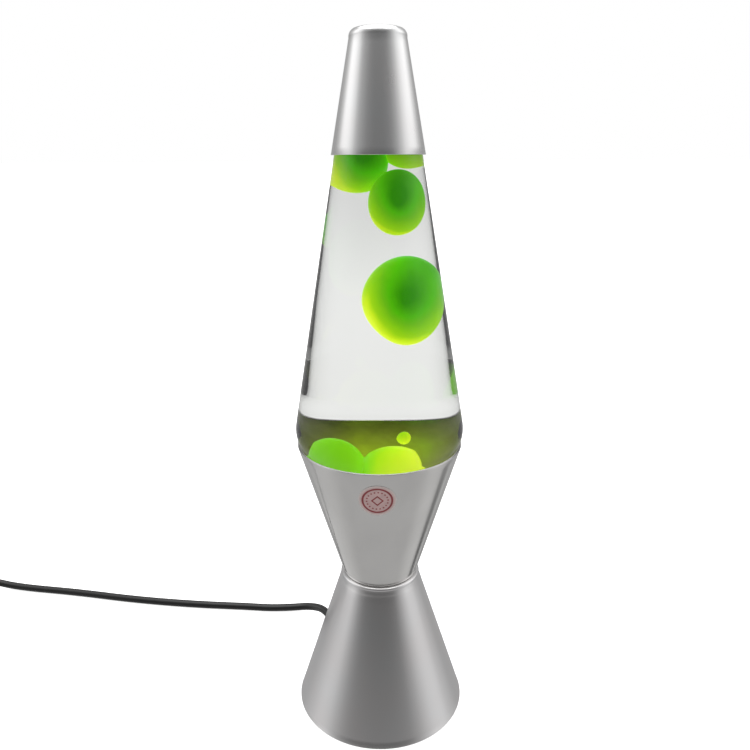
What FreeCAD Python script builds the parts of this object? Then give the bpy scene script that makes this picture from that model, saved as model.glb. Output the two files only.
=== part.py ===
import FreeCAD, Part
import math
import os

# A lava lamp: a spun aluminium base of two cones, a glass bottle of clear liquid and green wax
# that lifts out of it, a loose top cap, a reflector bulb in a lamp holder, and a mains cord with
# an in-line switch and a plug. Millimetres, +Z up, origin in the middle of the base on the table,
# -Y is the front. A pair of numbers below is (radius, height) unless its comment says otherwise.

V = FreeCAD.Vector
ORIGIN = V(0, 0, 0)
UP = V(0, 0, 1)

# ------------------------------------------------------------------ driving dimensions
SHEET = 1.25                      # spun aluminium, measured across the cone
FIT_GAP = 0.1                     # between pieces of one body that only rest on each other

# Base, lower cone
LOWER_BOTTOM = (52.6, 2.7)        # outer bottom edge
LOWER_TOP = (24.3, 93.3)          # where the rounded lip begins
LIP_TOP = (23.5, 94.3)
LIP_FLANGE_RADIUS = 22.4          # inner edge of the lip's flange
BOTTOM_FLANGE_RADIUS = 40.0       # inner edge of the flange that the cover is screwed to
SKIRT_BOTTOM = 1.2                # the wall reaches down round the cover
SKIRT_INNER_RADIUS = 51.95

# Base, upper cup
CUP_FOOT = (22.95, 94.6)          # outer edge of the shoulder at the waist
CUP_RIM = (49.4, 181.1)           # outer edge under the rounded rim
SPIGOT_RADIUS = 22.2              # outside of the collar that goes into the lower cone
SPIGOT_BORE = 21.2
SPIGOT_BOTTOM = 86.5
LOCK_RING = (90.6, 93.0)          # lowest and highest height
SEAT_RING = (121.5, 124.7)        # lowest and highest height
SEAT_RING_BORE = 25.0

# Cover, feet and screws
COVER_RADIUS = 51.8
COVER_BOTTOM = 1.5
FOOT_RADIUS = 4.5
FOOT_CIRCLE = 45.5                # radius of the circle that the feet stand on
FOOT_COUNT = 6
SCREW_CIRCLE = 44.5
SCREW_ANGLES = (60, 180, 300)
SCREW_RADIUS = 1.45
SCREW_HEAD_RADIUS = 2.7
SCREW_HEAD_HEIGHT = 1.1
SCREW_END = 8.0
SCREW_HOLE_RADIUS = 1.7
VENT_COUNT = 12
VENT_WIDTH = 3.0
VENT_SPAN = (14.0, 31.0)          # inner and outer radius of the vent slots

# Lamp holder and its bracket
BRACKET_TOP = 25.5
BRACKET_SHEET = 1.5
BRACKET_HUB_RADIUS = 15.0
BRACKET_ARM_WIDTH = 12.0
BRACKET_LEG_RADIUS = 39.5         # outside of the legs
BRACKET_TOE_RADIUS = 48.5
STEM_RADIUS = 4.95
STEM_BORE = 3.5
STEM_SPAN = (14.0, 33.5)          # lowest and highest height
NUT_ACROSS_FLATS = 14.0
NUT_HEIGHT = 3.0
HOLDER_RADIUS = 12.5
HOLDER_SPAN = (30.0, 72.0)
HOLDER_CAVITY_RADIUS = 10.0
HOLDER_CAVITY_TOP = 45.0
HOLDER_SEAT = 48.3                # floor of the bulb's side
HOLDER_BORE = 7.9
TERMINAL_REACH = 5.0              # from the axis
WIRE_RADIUS = 1.1

# Bulb, a 39 mm reflector bulb with a 14 mm screw cap
BULB_TIP = 50.0
BULB_FACE = 116.0
BULB_RADIUS = 19.5
BULB_CAP_RADIUS = 6.9
BULB_CAP_TOP = 72.0
BULB_THREAD_TURNS = 5

# Glass bottle, outside
BOTTLE_FOOT = 125.0               # height of the face that it stands on
BOTTLE_PUNT = 3.5                 # rise of its bottom in the middle
BOTTLE_MOUTH = 388.0
BOTTLE_FACE_RADIUS = 21.5         # where the punt meets the ring that it stands on
LIQUID_LEVEL = 358.0
CONTENT_GAP = 0.15                # between the glass and what it holds

# Glass bottle, inside: from the edge of the punt to the neck, an arc as (via, end)
INSIDE_APEX = 131.0
INSIDE = [
    (BOTTLE_FACE_RADIUS, 127.5),
    (25.6, 127.5),
    ((27.3, 128.1), (27.9, 129.7)),
    (44.9, 181.6),
    ((46.2, 183.3), (46.9, 185.2)),
    ((47.5, 190.3), (46.95, 196.8)),
    (19.1, 360.9),
    ((16.9, 366.0), (11.9, 369.7)),
    ((9.8, 371.6), (9.0, 374.5)),
]

# Wax; centres are (x, y, z), ovals are (radius, half height)
POOL_LEVEL = 150.0
LEFT_MOUND = (-20.0, 0.0, 171.5)  # centre of its domed top
LEFT_MOUND_RADIUS = 13.0
RIGHT_MOUND = (6.0, -1.0, 165.5)
RIGHT_MOUND_RADIUS = 15.0
HEATING_COIL = (18.0, 134.5)      # radius of its ring and its height
HEATING_COIL_RADIUS = 2.4
TOP_LEFT_WAX = (-9.5, 8.0, 344.0)
TOP_LEFT_OVAL = (13.0, 18.0)
TOP_RIGHT_WAX = (12.0, 8.0, 354.0)
TOP_RIGHT_OVAL = (9.0, 13.0)
TOP_WAX_LEVEL = 357.0
SMALL_BLOB = (8.2, -6.0, 321.0)
SMALL_OVAL = (13.0, 17.5)
SMALL_BLOB_SINKS = 8.0
LARGE_BLOB = (11.0, 0.0, 267.0)
LARGE_OVAL = (18.5, 25.5)
LARGE_BLOB_SINKS = 30.0
DROPLET = (11.0, -3.0, 187.0)
DROPLET_RADIUS = 4.2
DROPLET_RISES = 18.0
CHANNEL_GAP = 0.6                 # liquid left out around a blob and along its way

# Crown cap and top cap
CROWN_TOP = 389.4
CROWN_RADIUS = 14.5
CROWN_SKIRT = 383.6
CAP_BOTTOM = (25.56, 347.3)
CAP_TOP = 410.0
CAP_SHOULDER = (15.2, 404.9)      # where the rounded shoulder begins
CAP_WALL = 1.1

# Round label on the front of the cup
LABEL_CENTRE = (-1.6, 163.5)      # x and height
LABEL_RADIUS = 10.6
LABEL_GAP = 0.03
LABEL_THICKNESS = 0.15

# Strain relief, x axis turned to CORD_ANGLE
CORD_RADIUS = 2.8
CORD_ANGLE = 121.0                # degrees from +X
CORD_HEIGHT = 9.5
GROMMET_TIP = 71.0                # distance of its end from the lamp's axis
GROMMET_NECK_RADIUS = 3.95
GROMMET_FLANGE_RADIUS = 5.0
GROMMET_INNER_END = 43.5
GROMMET_BORE = 2.85

# In-line switch: lengths along X, width along Y, height along Z
SWITCH_CENTRE = (-376.0, 120.0)
SWITCH_SIZE = (56.0, 24.0, 16.0)
SWITCH_WALL = 1.8
SWITCH_AXIS = 8.0                 # height of the cord through it
CORD_IN_SWITCH = 6.0
PIVOT_HEIGHT = 12.2
PIVOT_RADIUS = 1.0
PIVOT_CLEARANCE = 0.05
ROCKER_HALF = (6.5, 4.6)          # half length and half width
ROCKER_WINDOW = (7.6, 5.1)
ROCKER_TILT = 8.0                 # each way from level, degrees

# Put-away coil, and the plug that lies beside it and points towards -Y
COIL_CENTRE = (-444.0, 77.5)
COIL_OUTER = 42.5                 # radius of the cord's line in the outermost turn
COIL_INNER = 24.4
COIL_TURNS = 6.5                  # in two layers
PLUG_X = -403.0                   # its middle line
PLUG_HEIGHT = 6.85
PLUG_SLEEVE_START = -6.0
PLUG_BODY_START = -20.0
PLUG_FACE = -56.0
PLUG_HALF_WIDTH = 17.65
PIN_RADIUS = 2.0
PIN_LENGTH = 19.0
PIN_SPACING = 18.6
PIN_SLEEVE_LENGTH = 10.0
PIN_SLEEVE_RADIUS = 1.75
PIN_ROOT_RADIUS = 1.45


# ------------------------------------------------------------------ helpers
def lathe(start, *steps):
    """Solid turned about Z. A step is a corner (r, z), or an arc given as (via, end)."""
    edges = []
    first = V(start[0], 0, start[1])
    here = first
    for step in steps:
        if isinstance(step[0], tuple):
            via = V(step[0][0], 0, step[0][1])
            end = V(step[1][0], 0, step[1][1])
            edges.append(Part.Arc(here, via, end).toShape())
        else:
            end = V(step[0], 0, step[1])
            edges.append(Part.LineSegment(here, end).toShape())
        here = end
    if here.distanceToPoint(first) > 0.001:
        edges.append(Part.LineSegment(here, first).toShape())
    return Part.Face(Part.Wire(edges)).revolve(ORIGIN, UP, 360)


def on_dome(edge, apex):
    """Point half way along the arc, centred on the axis, from the edge (r, z) to the apex height."""
    radius, z = edge
    rise = apex - z
    bend = (radius ** 2 + rise ** 2) / (2 * abs(rise))
    sagitta = bend - math.sqrt(bend ** 2 - (radius / 2) ** 2)
    return (radius / 2, apex - math.copysign(sagitta, rise))


def dome(edge, apex):
    """Arc step from the edge (r, z) to the axis."""
    return (on_dome(edge, apex), (0, apex))


def on_line(low, high, z):
    """Radius at height z on the straight line through two (radius, height) points."""
    share = (z - low[1]) / (high[1] - low[1])
    return low[0] + share * (high[0] - low[0])


def disc(radius, low, high, x=0.0, y=0.0):
    """Upright cylinder between two heights."""
    return Part.makeCylinder(radius, high - low, V(x, y, low), UP)


def block(x0, x1, y0, y1, z0, z1):
    return Part.makeBox(x1 - x0, y1 - y0, z1 - z0, V(x0, y0, z0))


def turned(shape, degrees, centre=ORIGIN, axis=UP):
    copy = shape.copy()
    copy.rotate(centre, axis, degrees)
    return copy


def around(shape, angles):
    """Copies of a shape turned about Z."""
    return [turned(shape, angle) for angle in angles]


def at_angle(radius, degrees, z):
    angle = math.radians(degrees)
    return (radius * math.cos(angle), radius * math.sin(angle), z)


def oval(size, centre):
    """Solid of revolution of an upright ellipse, size is (radius, half height)."""
    radius, half_height = size
    ellipse = Part.Ellipse(V(0, 0, half_height), V(radius, 0, 0), ORIGIN)
    side = Part.ArcOfEllipse(ellipse, 0, math.pi).toShape()
    axis_edge = Part.LineSegment(V(0, 0, -half_height), V(0, 0, half_height)).toShape()
    solid = Part.Face(Part.Wire([side, axis_edge])).revolve(ORIGIN, UP, 360)
    solid.translate(V(*centre))
    return solid


def routed_tube(name, points, radius):
    """Round tube along straight runs joined by arcs as large as the runs allow."""
    points = [V(*point) for point in points]
    edges = []
    start = points[0]
    radii = []
    for before, corner, after in zip(points, points[1:], points[2:]):
        way_in = (corner - before).normalize()
        way_out = (after - corner).normalize()
        turn = way_in.getAngle(way_out)
        reach = 0.45 * min(corner.distanceToPoint(before), after.distanceToPoint(corner))
        bend = reach / math.tan(turn / 2)
        arc_start = corner - way_in * reach
        arc_end = corner + way_out * reach
        inward = (way_out - way_in).normalize()
        centre = corner + inward * (bend / math.cos(turn / 2))
        middle = centre - inward * bend
        edges.append(Part.LineSegment(start, arc_start).toShape())
        edges.append(Part.Arc(arc_start, middle, arc_end).toShape())
        radii.append(round(bend, 1))
        start = arc_end
    edges.append(Part.LineSegment(start, points[-1]).toShape())
    path = Part.Wire(edges)
    section = Part.Wire([Part.makeCircle(radius, points[0], points[1] - points[0])])
    tube = path.makePipeShell([section], True, False)
    expected = math.pi * radius ** 2 * path.Length
    print(name, "length", round(path.Length, 1), "bend radii", radii,
          "volume / expected", round(tube.Volume / expected, 4))
    return tube


# ------------------------------------------------------------------ base
def lower_cone_filled(grow=0.0):
    """The whole space inside the lower cone's outer face, made larger by grow."""
    bottom = (LOWER_BOTTOM[0] + grow, LOWER_BOTTOM[1])
    top = (LOWER_TOP[0] + grow, LOWER_TOP[1])
    return lathe((0, bottom[1]), bottom, top, (0, top[1]))


def lower_base_shell():
    flange_top = LOWER_BOTTOM[1] + 1.2
    lip_under = LIP_TOP[1] - 1.2
    shell = lathe(
        (on_line(LOWER_BOTTOM, LOWER_TOP, SKIRT_BOTTOM), SKIRT_BOTTOM),
        LOWER_TOP,
        ((24.1, 94.0), LIP_TOP),
        (LIP_FLANGE_RADIUS, LIP_TOP[1]),
        (LIP_FLANGE_RADIUS, lip_under),
        (on_line(LOWER_BOTTOM, LOWER_TOP, lip_under) - SHEET, lip_under),
        (on_line(LOWER_BOTTOM, LOWER_TOP, flange_top) - SHEET, flange_top),
        (BOTTOM_FLANGE_RADIUS, flange_top),
        (BOTTOM_FLANGE_RADIUS, LOWER_BOTTOM[1]),
        (SKIRT_INNER_RADIUS, LOWER_BOTTOM[1]),
        (SKIRT_INNER_RADIUS, SKIRT_BOTTOM),
    )
    holes = around(disc(SCREW_HOLE_RADIUS, 0, 10, SCREW_CIRCLE), SCREW_ANGLES)
    neck_hole = Part.makeCylinder(GROMMET_NECK_RADIUS + 0.05, 20, V(40, 0, CORD_HEIGHT), V(1, 0, 0))
    holes.append(turned(neck_hole, CORD_ANGLE))
    return shell.cut(holes)


def cup_inner(z):
    return on_line(CUP_FOOT, CUP_RIM, z) - SHEET


def upper_base_shell():
    rim_z = CUP_RIM[1]
    rim_outer = CUP_RIM[0]
    rim_inner = rim_outer - SHEET
    spigot_meets = 93.0
    return lathe(
        CUP_FOOT,
        CUP_RIM,
        (((rim_outer + rim_inner) / 2, rim_z + SHEET / 2), (rim_inner, rim_z)),
        (cup_inner(spigot_meets), spigot_meets),
        (SPIGOT_BORE, spigot_meets - 0.5),
        (SPIGOT_BORE, SPIGOT_BOTTOM),
        (SPIGOT_RADIUS, SPIGOT_BOTTOM),
        (SPIGOT_RADIUS, CUP_FOOT[1]),
    )


def waist_lock_ring():
    low, high = LOCK_RING
    wall_low = on_line(LOWER_BOTTOM, LOWER_TOP, low) - SHEET - FIT_GAP
    wall_high = on_line(LOWER_BOTTOM, LOWER_TOP, high) - SHEET - FIT_GAP
    bore = SPIGOT_RADIUS + 0.05
    return lathe((bore, low), (wall_low, low), (wall_high, high), (bore, high))


def globe_seat_ring():
    low, high = SEAT_RING
    return lathe(
        (SEAT_RING_BORE, low),
        (cup_inner(low) - FIT_GAP, low),
        (cup_inner(high) - FIT_GAP, high),
        (SEAT_RING_BORE, high),
    )


def bottom_cover():
    cover = disc(COVER_RADIUS, COVER_BOTTOM, LOWER_BOTTOM[1])
    inner, outer = VENT_SPAN
    slot = block(inner, outer, -VENT_WIDTH / 2, VENT_WIDTH / 2, 0, 5)
    slot = slot.fuse([disc(VENT_WIDTH / 2, 0, 5, inner), disc(VENT_WIDTH / 2, 0, 5, outer)])
    slots = around(slot, [360 / VENT_COUNT * (index + 0.5) for index in range(VENT_COUNT)])
    holes = around(disc(SCREW_HOLE_RADIUS, 0, 5, SCREW_CIRCLE), SCREW_ANGLES)
    return cover.cut(slots + holes)


def rubber_feet():
    foot = disc(FOOT_RADIUS, 0, COVER_BOTTOM, FOOT_CIRCLE)
    step = 360 / FOOT_COUNT
    return Part.makeCompound(around(foot, [step * (index + 0.5) for index in range(FOOT_COUNT)]))


def cover_screws():
    head_bottom = COVER_BOTTOM - SCREW_HEAD_HEIGHT
    head = disc(SCREW_HEAD_RADIUS, head_bottom, COVER_BOTTOM, SCREW_CIRCLE)
    shank = disc(SCREW_RADIUS, COVER_BOTTOM, SCREW_END, SCREW_CIRCLE)
    slot_half = 0.35
    arm = 1.7
    x = SCREW_CIRCLE
    recess = [
        block(x - arm, x + arm, -slot_half, slot_half, 0, head_bottom + 0.6),
        block(x - slot_half, x + slot_half, -arm, arm, 0, head_bottom + 0.6),
    ]
    return Part.makeCompound(around(head.fuse(shank).cut(recess), SCREW_ANGLES))


def socket_bracket():
    plate_low = BRACKET_TOP - BRACKET_SHEET
    toe_low = LOWER_BOTTOM[1] + 1.2
    half = BRACKET_ARM_WIDTH / 2
    leg_inner = BRACKET_LEG_RADIUS - BRACKET_SHEET
    arm = block(0, BRACKET_LEG_RADIUS, -half, half, plate_low, BRACKET_TOP)
    leg = block(leg_inner, BRACKET_LEG_RADIUS, -half, half, toe_low, BRACKET_TOP)
    toe = block(leg_inner, BRACKET_TOE_RADIUS, -half, half, toe_low, toe_low + BRACKET_SHEET)
    limbs = []
    for angle in SCREW_ANGLES:
        limbs += [turned(arm, angle), turned(leg, angle), turned(toe, angle)]
    bracket = disc(BRACKET_HUB_RADIUS, plate_low, BRACKET_TOP).fuse(limbs)
    holes = around(disc(SCREW_RADIUS + 0.05, 0, 10, SCREW_CIRCLE), SCREW_ANGLES)
    holes.append(disc(STEM_RADIUS + 0.05, plate_low - 1, BRACKET_TOP + 1))
    return bracket.cut(holes).removeSplitter()


def threaded_stem():
    low, high = STEM_SPAN
    return disc(STEM_RADIUS, low, high).cut(disc(STEM_BORE, low - 1, high + 1))


def stem_nuts():
    corner = NUT_ACROSS_FLATS / 2 / math.cos(math.radians(30))
    points = [V(*at_angle(corner, 60 * index, 0)) for index in range(7)]
    hexagon = Part.Face(Part.makePolygon(points)).extrude(V(0, 0, NUT_HEIGHT))
    nut = hexagon.cut(disc(STEM_RADIUS + 0.05, -1, NUT_HEIGHT + 1))
    nuts = []
    for low in (BRACKET_TOP - BRACKET_SHEET - NUT_HEIGHT, BRACKET_TOP):
        copy = nut.copy()
        copy.translate(V(0, 0, low))
        nuts.append(copy)
    return Part.makeCompound(nuts)


def lamp_holder_body():
    low, high = HOLDER_SPAN
    floor = low + 3.0
    chamfer = 1.0
    rivet = 1.0
    body = lathe(
        (STEM_RADIUS + 0.05, low),
        (HOLDER_RADIUS - chamfer, low),
        (HOLDER_RADIUS, low + chamfer),
        (HOLDER_RADIUS, high - chamfer),
        (HOLDER_RADIUS - chamfer, high),
        (HOLDER_BORE, high),
        (HOLDER_BORE, HOLDER_SEAT),
        (rivet, HOLDER_SEAT),
        (rivet, HOLDER_CAVITY_TOP),
        (HOLDER_CAVITY_RADIUS, HOLDER_CAVITY_TOP),
        (HOLDER_CAVITY_RADIUS, floor),
        (STEM_RADIUS + 0.05, floor),
    )
    return body


def lamp_holder_shell():
    low = 49.8
    inner = BULB_CAP_RADIUS + 0.35
    outer = HOLDER_BORE - FIT_GAP
    return lathe((inner, low), (outer, low), (outer, BULB_CAP_TOP - 1), (inner, BULB_CAP_TOP - 1))


def lamp_holder_contact():
    """Sprung tongue on a rivet, a little under the bulb's own contact."""
    rivet = 0.9
    return lathe(
        (0, HOLDER_CAVITY_TOP - 0.8),
        (1.8, HOLDER_CAVITY_TOP - 0.8),
        (1.8, HOLDER_CAVITY_TOP - 0.05),
        (rivet, HOLDER_CAVITY_TOP - 0.05),
        (rivet, HOLDER_SEAT + 0.05),
        (4.0, HOLDER_SEAT + 0.05),
        (4.0, HOLDER_SEAT + 0.6),
        dome((4.0, HOLDER_SEAT + 0.6), BULB_TIP - 0.4),
    )


def lamp_holder_terminals():
    low = 39.0
    high = 44.0
    pieces = []
    for side in (-1, 1):
        clamp = block(-2.2, 2.2, -2.5, 2.5, low, high)
        clamp.translate(V(side * TERMINAL_REACH, 0, 0))
        screw = Part.makeCylinder(1.3, 2.2, V(side * TERMINAL_REACH, -2.5, low + 2.5), V(0, -1, 0))
        pieces.append(clamp.fuse(screw))
    return Part.makeCompound(pieces)


def holder_wire(name, side):
    """Insulated wire from the cord's end, up the hollow stem, to a terminal."""
    offset = 1.3
    start = at_angle(GROMMET_INNER_END - 4, CORD_ANGLE, CORD_HEIGHT)
    middle = at_angle(14.0, CORD_ANGLE, 7.5)
    across = at_angle(offset * side, CORD_ANGLE - 90, 0)
    route = [
        (start[0] + across[0], start[1] + across[1], start[2]),
        (middle[0] + across[0], middle[1] + across[1], middle[2]),
        (offset * side, 0, 7.5),
        (offset * side, 0, 34.2),
        (TERMINAL_REACH * side, 0, 39.0),
    ]
    return routed_tube(name, route, WIRE_RADIUS)


def cord_grommet():
    """Strain relief: a flange inside, a neck through the wall, a tapered sleeve outside."""
    wall_inside = on_line(LOWER_BOTTOM, LOWER_TOP, CORD_HEIGHT + GROMMET_FLANGE_RADIUS) - SHEET - 0.2
    forward = V(1, 0, 0)
    inner_flange = Part.makeCylinder(
        GROMMET_FLANGE_RADIUS, wall_inside - GROMMET_INNER_END, V(GROMMET_INNER_END, 0, CORD_HEIGHT), forward)
    neck = Part.makeCylinder(GROMMET_NECK_RADIUS, 10, V(wall_inside, 0, CORD_HEIGHT), forward)
    sleeve_start = 52.8
    flange = Part.makeCylinder(GROMMET_FLANGE_RADIUS, 8, V(sleeve_start - 8, 0, CORD_HEIGHT), forward)
    flange = flange.cut(lower_cone_filled(0.05))
    sleeve = Part.makeCone(
        4.3, 3.3, GROMMET_TIP - sleeve_start, V(sleeve_start, 0, CORD_HEIGHT), forward)
    bore = Part.makeCylinder(GROMMET_BORE, 60, V(30, 0, CORD_HEIGHT), forward)
    grommet = inner_flange.fuse([neck, flange, sleeve]).cut(bore)
    return turned(grommet, CORD_ANGLE)


def cord_inlet_length():
    start = GROMMET_INNER_END - 4
    piece = Part.makeCylinder(CORD_RADIUS, GROMMET_TIP - start, V(start, 0, CORD_HEIGHT), V(1, 0, 0))
    return turned(piece, CORD_ANGLE)


def round_label():
    """Thin round film that follows the cup's front."""
    inner = LABEL_GAP
    outer = LABEL_GAP + LABEL_THICKNESS
    low = (CUP_FOOT[0], CUP_FOOT[1])
    film = lathe(
        (low[0] + inner, low[1]),
        (low[0] + outer, low[1]),
        (CUP_RIM[0] + outer, CUP_RIM[1]),
        (CUP_RIM[0] + inner, CUP_RIM[1]),
    )
    x, z = LABEL_CENTRE
    punch = Part.makeCylinder(LABEL_RADIUS, 40, V(x, -20, z), V(0, -1, 0))
    return film.common(punch)


# ------------------------------------------------------------------ cord, switch, plug
def cord_run_route():
    """From the strain relief, down to the table and left along it, into the switch."""
    tip = at_angle(GROMMET_TIP, CORD_ANGLE, CORD_HEIGHT)
    out = at_angle(GROMMET_TIP + 20.5, CORD_ANGLE, CORD_HEIGHT)
    face = SWITCH_CENTRE[0] + SWITCH_SIZE[0] / 2
    y = SWITCH_CENTRE[1]
    return [
        tip,
        out,
        (-68.5, 89.5, 3.2),
        (-104.0, 88.5, CORD_RADIUS),
        (-150.0, 92.0, CORD_RADIUS),
        (-200.0, 99.0, CORD_RADIUS),
        (-250.0, 109.5, CORD_RADIUS),
        (-303.0, 117.5, CORD_RADIUS),
        (-328.0, y, SWITCH_AXIS),
        (face - CORD_IN_SWITCH, y, SWITCH_AXIS),
    ]


def cord_tail_route():
    """From the switch down to the table and into the coil's outermost turn."""
    face = SWITCH_CENTRE[0] - SWITCH_SIZE[0] / 2
    y = SWITCH_CENTRE[1]
    return [
        (face + CORD_IN_SWITCH, y, SWITCH_AXIS),
        (face - 7.0, y, SWITCH_AXIS),
        (face - 22.0, y + 0.3, 4.8),
        (COIL_CENTRE[0] + 8.0, COIL_CENTRE[1] + COIL_OUTER, CORD_RADIUS),
    ]


def cord_coil():
    """Outer shape of two layers of turns: a flat ring with rounded edges."""
    low = 0.0
    high = 4 * CORD_RADIUS
    inner = COIL_INNER - CORD_RADIUS
    outer = COIL_OUTER + CORD_RADIUS
    edge = CORD_RADIUS
    corner = edge * (1 - math.sqrt(0.5))
    ring = lathe(
        (inner + edge, low),
        (outer - edge, low),
        ((outer - corner, low + corner), (outer, low + edge)),
        (outer, high - edge),
        ((outer - corner, high - corner), (outer - edge, high)),
        (inner + edge, high),
        ((inner + corner, high - corner), (inner, high - edge)),
        (inner, low + edge),
        ((inner + corner, low + corner), (inner + edge, low)),
    )
    ring.translate(V(COIL_CENTRE[0], COIL_CENTRE[1], 0))
    print("cord_coil length of cord", round(COIL_TURNS * math.pi * (COIL_OUTER + COIL_INNER), 1))
    return ring


def cord_end_route():
    """From the coil's outermost top turn, round a bend, to the plug's sleeve."""
    coil_front = COIL_CENTRE[1] - COIL_OUTER
    return [
        (COIL_CENTRE[0] + 3.0, coil_front, 3 * CORD_RADIUS),
        (COIL_CENTRE[0] + 24.0, coil_front, 8.0),
        (PLUG_X, 18.0, PLUG_HEIGHT),
        (PLUG_X, PLUG_SLEEVE_START, PLUG_HEIGHT),
    ]


def switch_block(size, lift, corner, edge):
    """Rounded block centred on the switch, standing lift above the table."""
    length, width, height = size
    x, y = SWITCH_CENTRE
    shape = Part.makeBox(length, width, height, V(x - length / 2, y - width / 2, lift))
    upright = [e for e in shape.Edges if abs(e.tangentAt(e.FirstParameter).z) > 0.9]
    shape = shape.makeFillet(corner, upright)
    level = [e for e in shape.Edges if abs(e.CenterOfMass.z - lift) < 0.01
             or abs(e.CenterOfMass.z - lift - height) < 0.01]
    return shape.makeChamfer(edge, level)


def switch_post_places():
    x, y = SWITCH_CENTRE
    return [(x - 16.0, y - 6.6), (x + 16.0, y + 6.6)]


def switch_shell():
    """Both halves of the housing as one hollow block."""
    length, width, height = SWITCH_SIZE
    x, y = SWITCH_CENTRE
    wall = SWITCH_WALL
    hollow = switch_block((length - 2 * wall, width - 2 * wall, height - 2 * wall), wall, 6.0, 0.8)
    posts = [disc(3.0, 0.9, height - 0.9, px, py) for px, py in switch_post_places()]
    lug_half = 2.6
    lug_inner = ROCKER_WINDOW[1]
    for side in (-1, 1):
        y0, y1 = sorted((y + side * lug_inner, y + side * (lug_inner + 2.0)))
        posts.append(block(x - lug_half, x + lug_half, y0, y1, PIVOT_HEIGHT - 2.6, height - 0.9))
    shell = switch_block(SWITCH_SIZE, 0.0, 8.0, 1.6).cut(hollow).fuse(posts)
    cuts = [
        Part.makeCylinder(CORD_RADIUS, length + 2, V(x - length / 2 - 1, y, SWITCH_AXIS), V(1, 0, 0)),
        block(x - ROCKER_WINDOW[0], x + ROCKER_WINDOW[0], y - ROCKER_WINDOW[1], y + ROCKER_WINDOW[1],
              height - 4.0, height + 1),
        Part.makeCylinder(PIVOT_RADIUS + PIVOT_CLEARANCE, 2 * lug_inner + 5.0,
                          V(x, y - lug_inner - 2.5, PIVOT_HEIGHT), V(0, 1, 0)),
    ]
    for px, py in switch_post_places():
        cuts.append(disc(2.3, -1, 2.5, px, py))
        cuts.append(disc(1.25, 0, 12.5, px, py))
    return shell.cut(cuts)


def switch_half(shell, low, high):
    x, y = SWITCH_CENTRE
    length, width, _ = SWITCH_SIZE
    half = shell.common(block(x - length, x + length, y - width, y + width, low, high))
    return max(half.Solids, key=lambda solid: solid.Volume)


def switch_screws():
    screws = []
    for x, y in switch_post_places():
        head = disc(2.1, 0.9, 2.4, x, y)
        shank = disc(1.2, 2.4, 12.0, x, y)
        slot = block(x - 2.5, x + 2.5, y - 0.3, y + 0.3, 0, 1.4)
        screws.append(head.fuse(shank).cut(slot))
    return Part.makeCompound(screws)


def switch_contacts():
    """Two brass strips with a clamp each, on the floor of the housing."""
    x, y = SWITCH_CENTRE
    floor = SWITCH_WALL
    strips = []
    for side in (-1, 1):
        x0, x1 = sorted((x + side * 2.0, x + side * 12.0))
        clamp_x0, clamp_x1 = sorted((x + side * 7.0, x + side * 12.0))
        strip = block(x0, x1, y - 2.0, y + 2.0, floor, floor + 0.8)
        clamp = block(clamp_x0, clamp_x1, y - 2.0, y + 2.0, floor + 0.8, floor + 6.0)
        strips.append(strip.fuse(clamp))
    return Part.makeCompound(strips)


def switch_rocker():
    """Rocker with its two pins, tilted to its on side."""
    half_length, half_width = ROCKER_HALF
    x, y = SWITCH_CENTRE
    low = PIVOT_HEIGHT - 1.6
    high = SWITCH_SIZE[2] + 0.6
    corners = [
        V(x - half_length, 0, low),
        V(x + half_length, 0, low),
        V(x + half_length, 0, high),
        V(x, 0, high - 1.0),
        V(x - half_length, 0, high),
    ]
    side = Part.Face(Part.makePolygon(corners + corners[:1]))
    side.translate(V(0, y - half_width, 0))
    rocker = side.extrude(V(0, 2 * half_width, 0))
    pin_half = ROCKER_WINDOW[1] + 1.7
    pin = Part.makeCylinder(PIVOT_RADIUS, 2 * pin_half, V(x, y - pin_half, PIVOT_HEIGHT), V(0, 1, 0))
    return turned(rocker.fuse(pin), ROCKER_TILT, V(x, y, PIVOT_HEIGHT), V(0, 1, 0))


def plug_section(y, half_width, half_height, corner):
    """Flat eight-sided outline across the plug at y."""
    w = half_width
    h = half_height
    c = corner
    ring = [(w, h - c), (w - c, h), (c - w, h), (-w, h - c), (-w, c - h), (c - w, -h), (w - c, -h), (w, c - h)]
    points = [V(PLUG_X + across, y, PLUG_HEIGHT + up) for across, up in ring]
    return Part.Wire(Part.makePolygon(points + points[:1]))


def plug_body():
    forward = V(0, -1, 0)
    sections = [
        plug_section(PLUG_BODY_START, 5.5, 4.9, 1.8),
        plug_section(PLUG_BODY_START - 12, 9.5, 5.9, 2.2),
        plug_section(PLUG_BODY_START - 25, 17.2, PLUG_HEIGHT, 3.0),
        plug_section(PLUG_FACE, PLUG_HALF_WIDTH, PLUG_HEIGHT, 3.0),
    ]
    body = Part.makeLoft(sections, True, True)
    sleeve = Part.makeCone(3.6, 4.7, PLUG_SLEEVE_START - PLUG_BODY_START,
                           V(PLUG_X, PLUG_SLEEVE_START, PLUG_HEIGHT), forward)
    sockets = [Part.makeCylinder(PIN_ROOT_RADIUS, 12, V(x, PLUG_FACE + 8, PLUG_HEIGHT), forward)
               for x in pin_places()]
    return body.fuse(sleeve).cut(sockets)


def pin_places():
    return [PLUG_X - PIN_SPACING / 2, PLUG_X + PIN_SPACING / 2]


def along_plug(shape, pin_x):
    """A shape turned about Z, laid along the plug at one pin's place, its height 0 at the face."""
    laid = turned(shape, 90, ORIGIN, V(1, 0, 0))
    laid.translate(V(pin_x, PLUG_FACE, PLUG_HEIGHT))
    return laid


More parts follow.
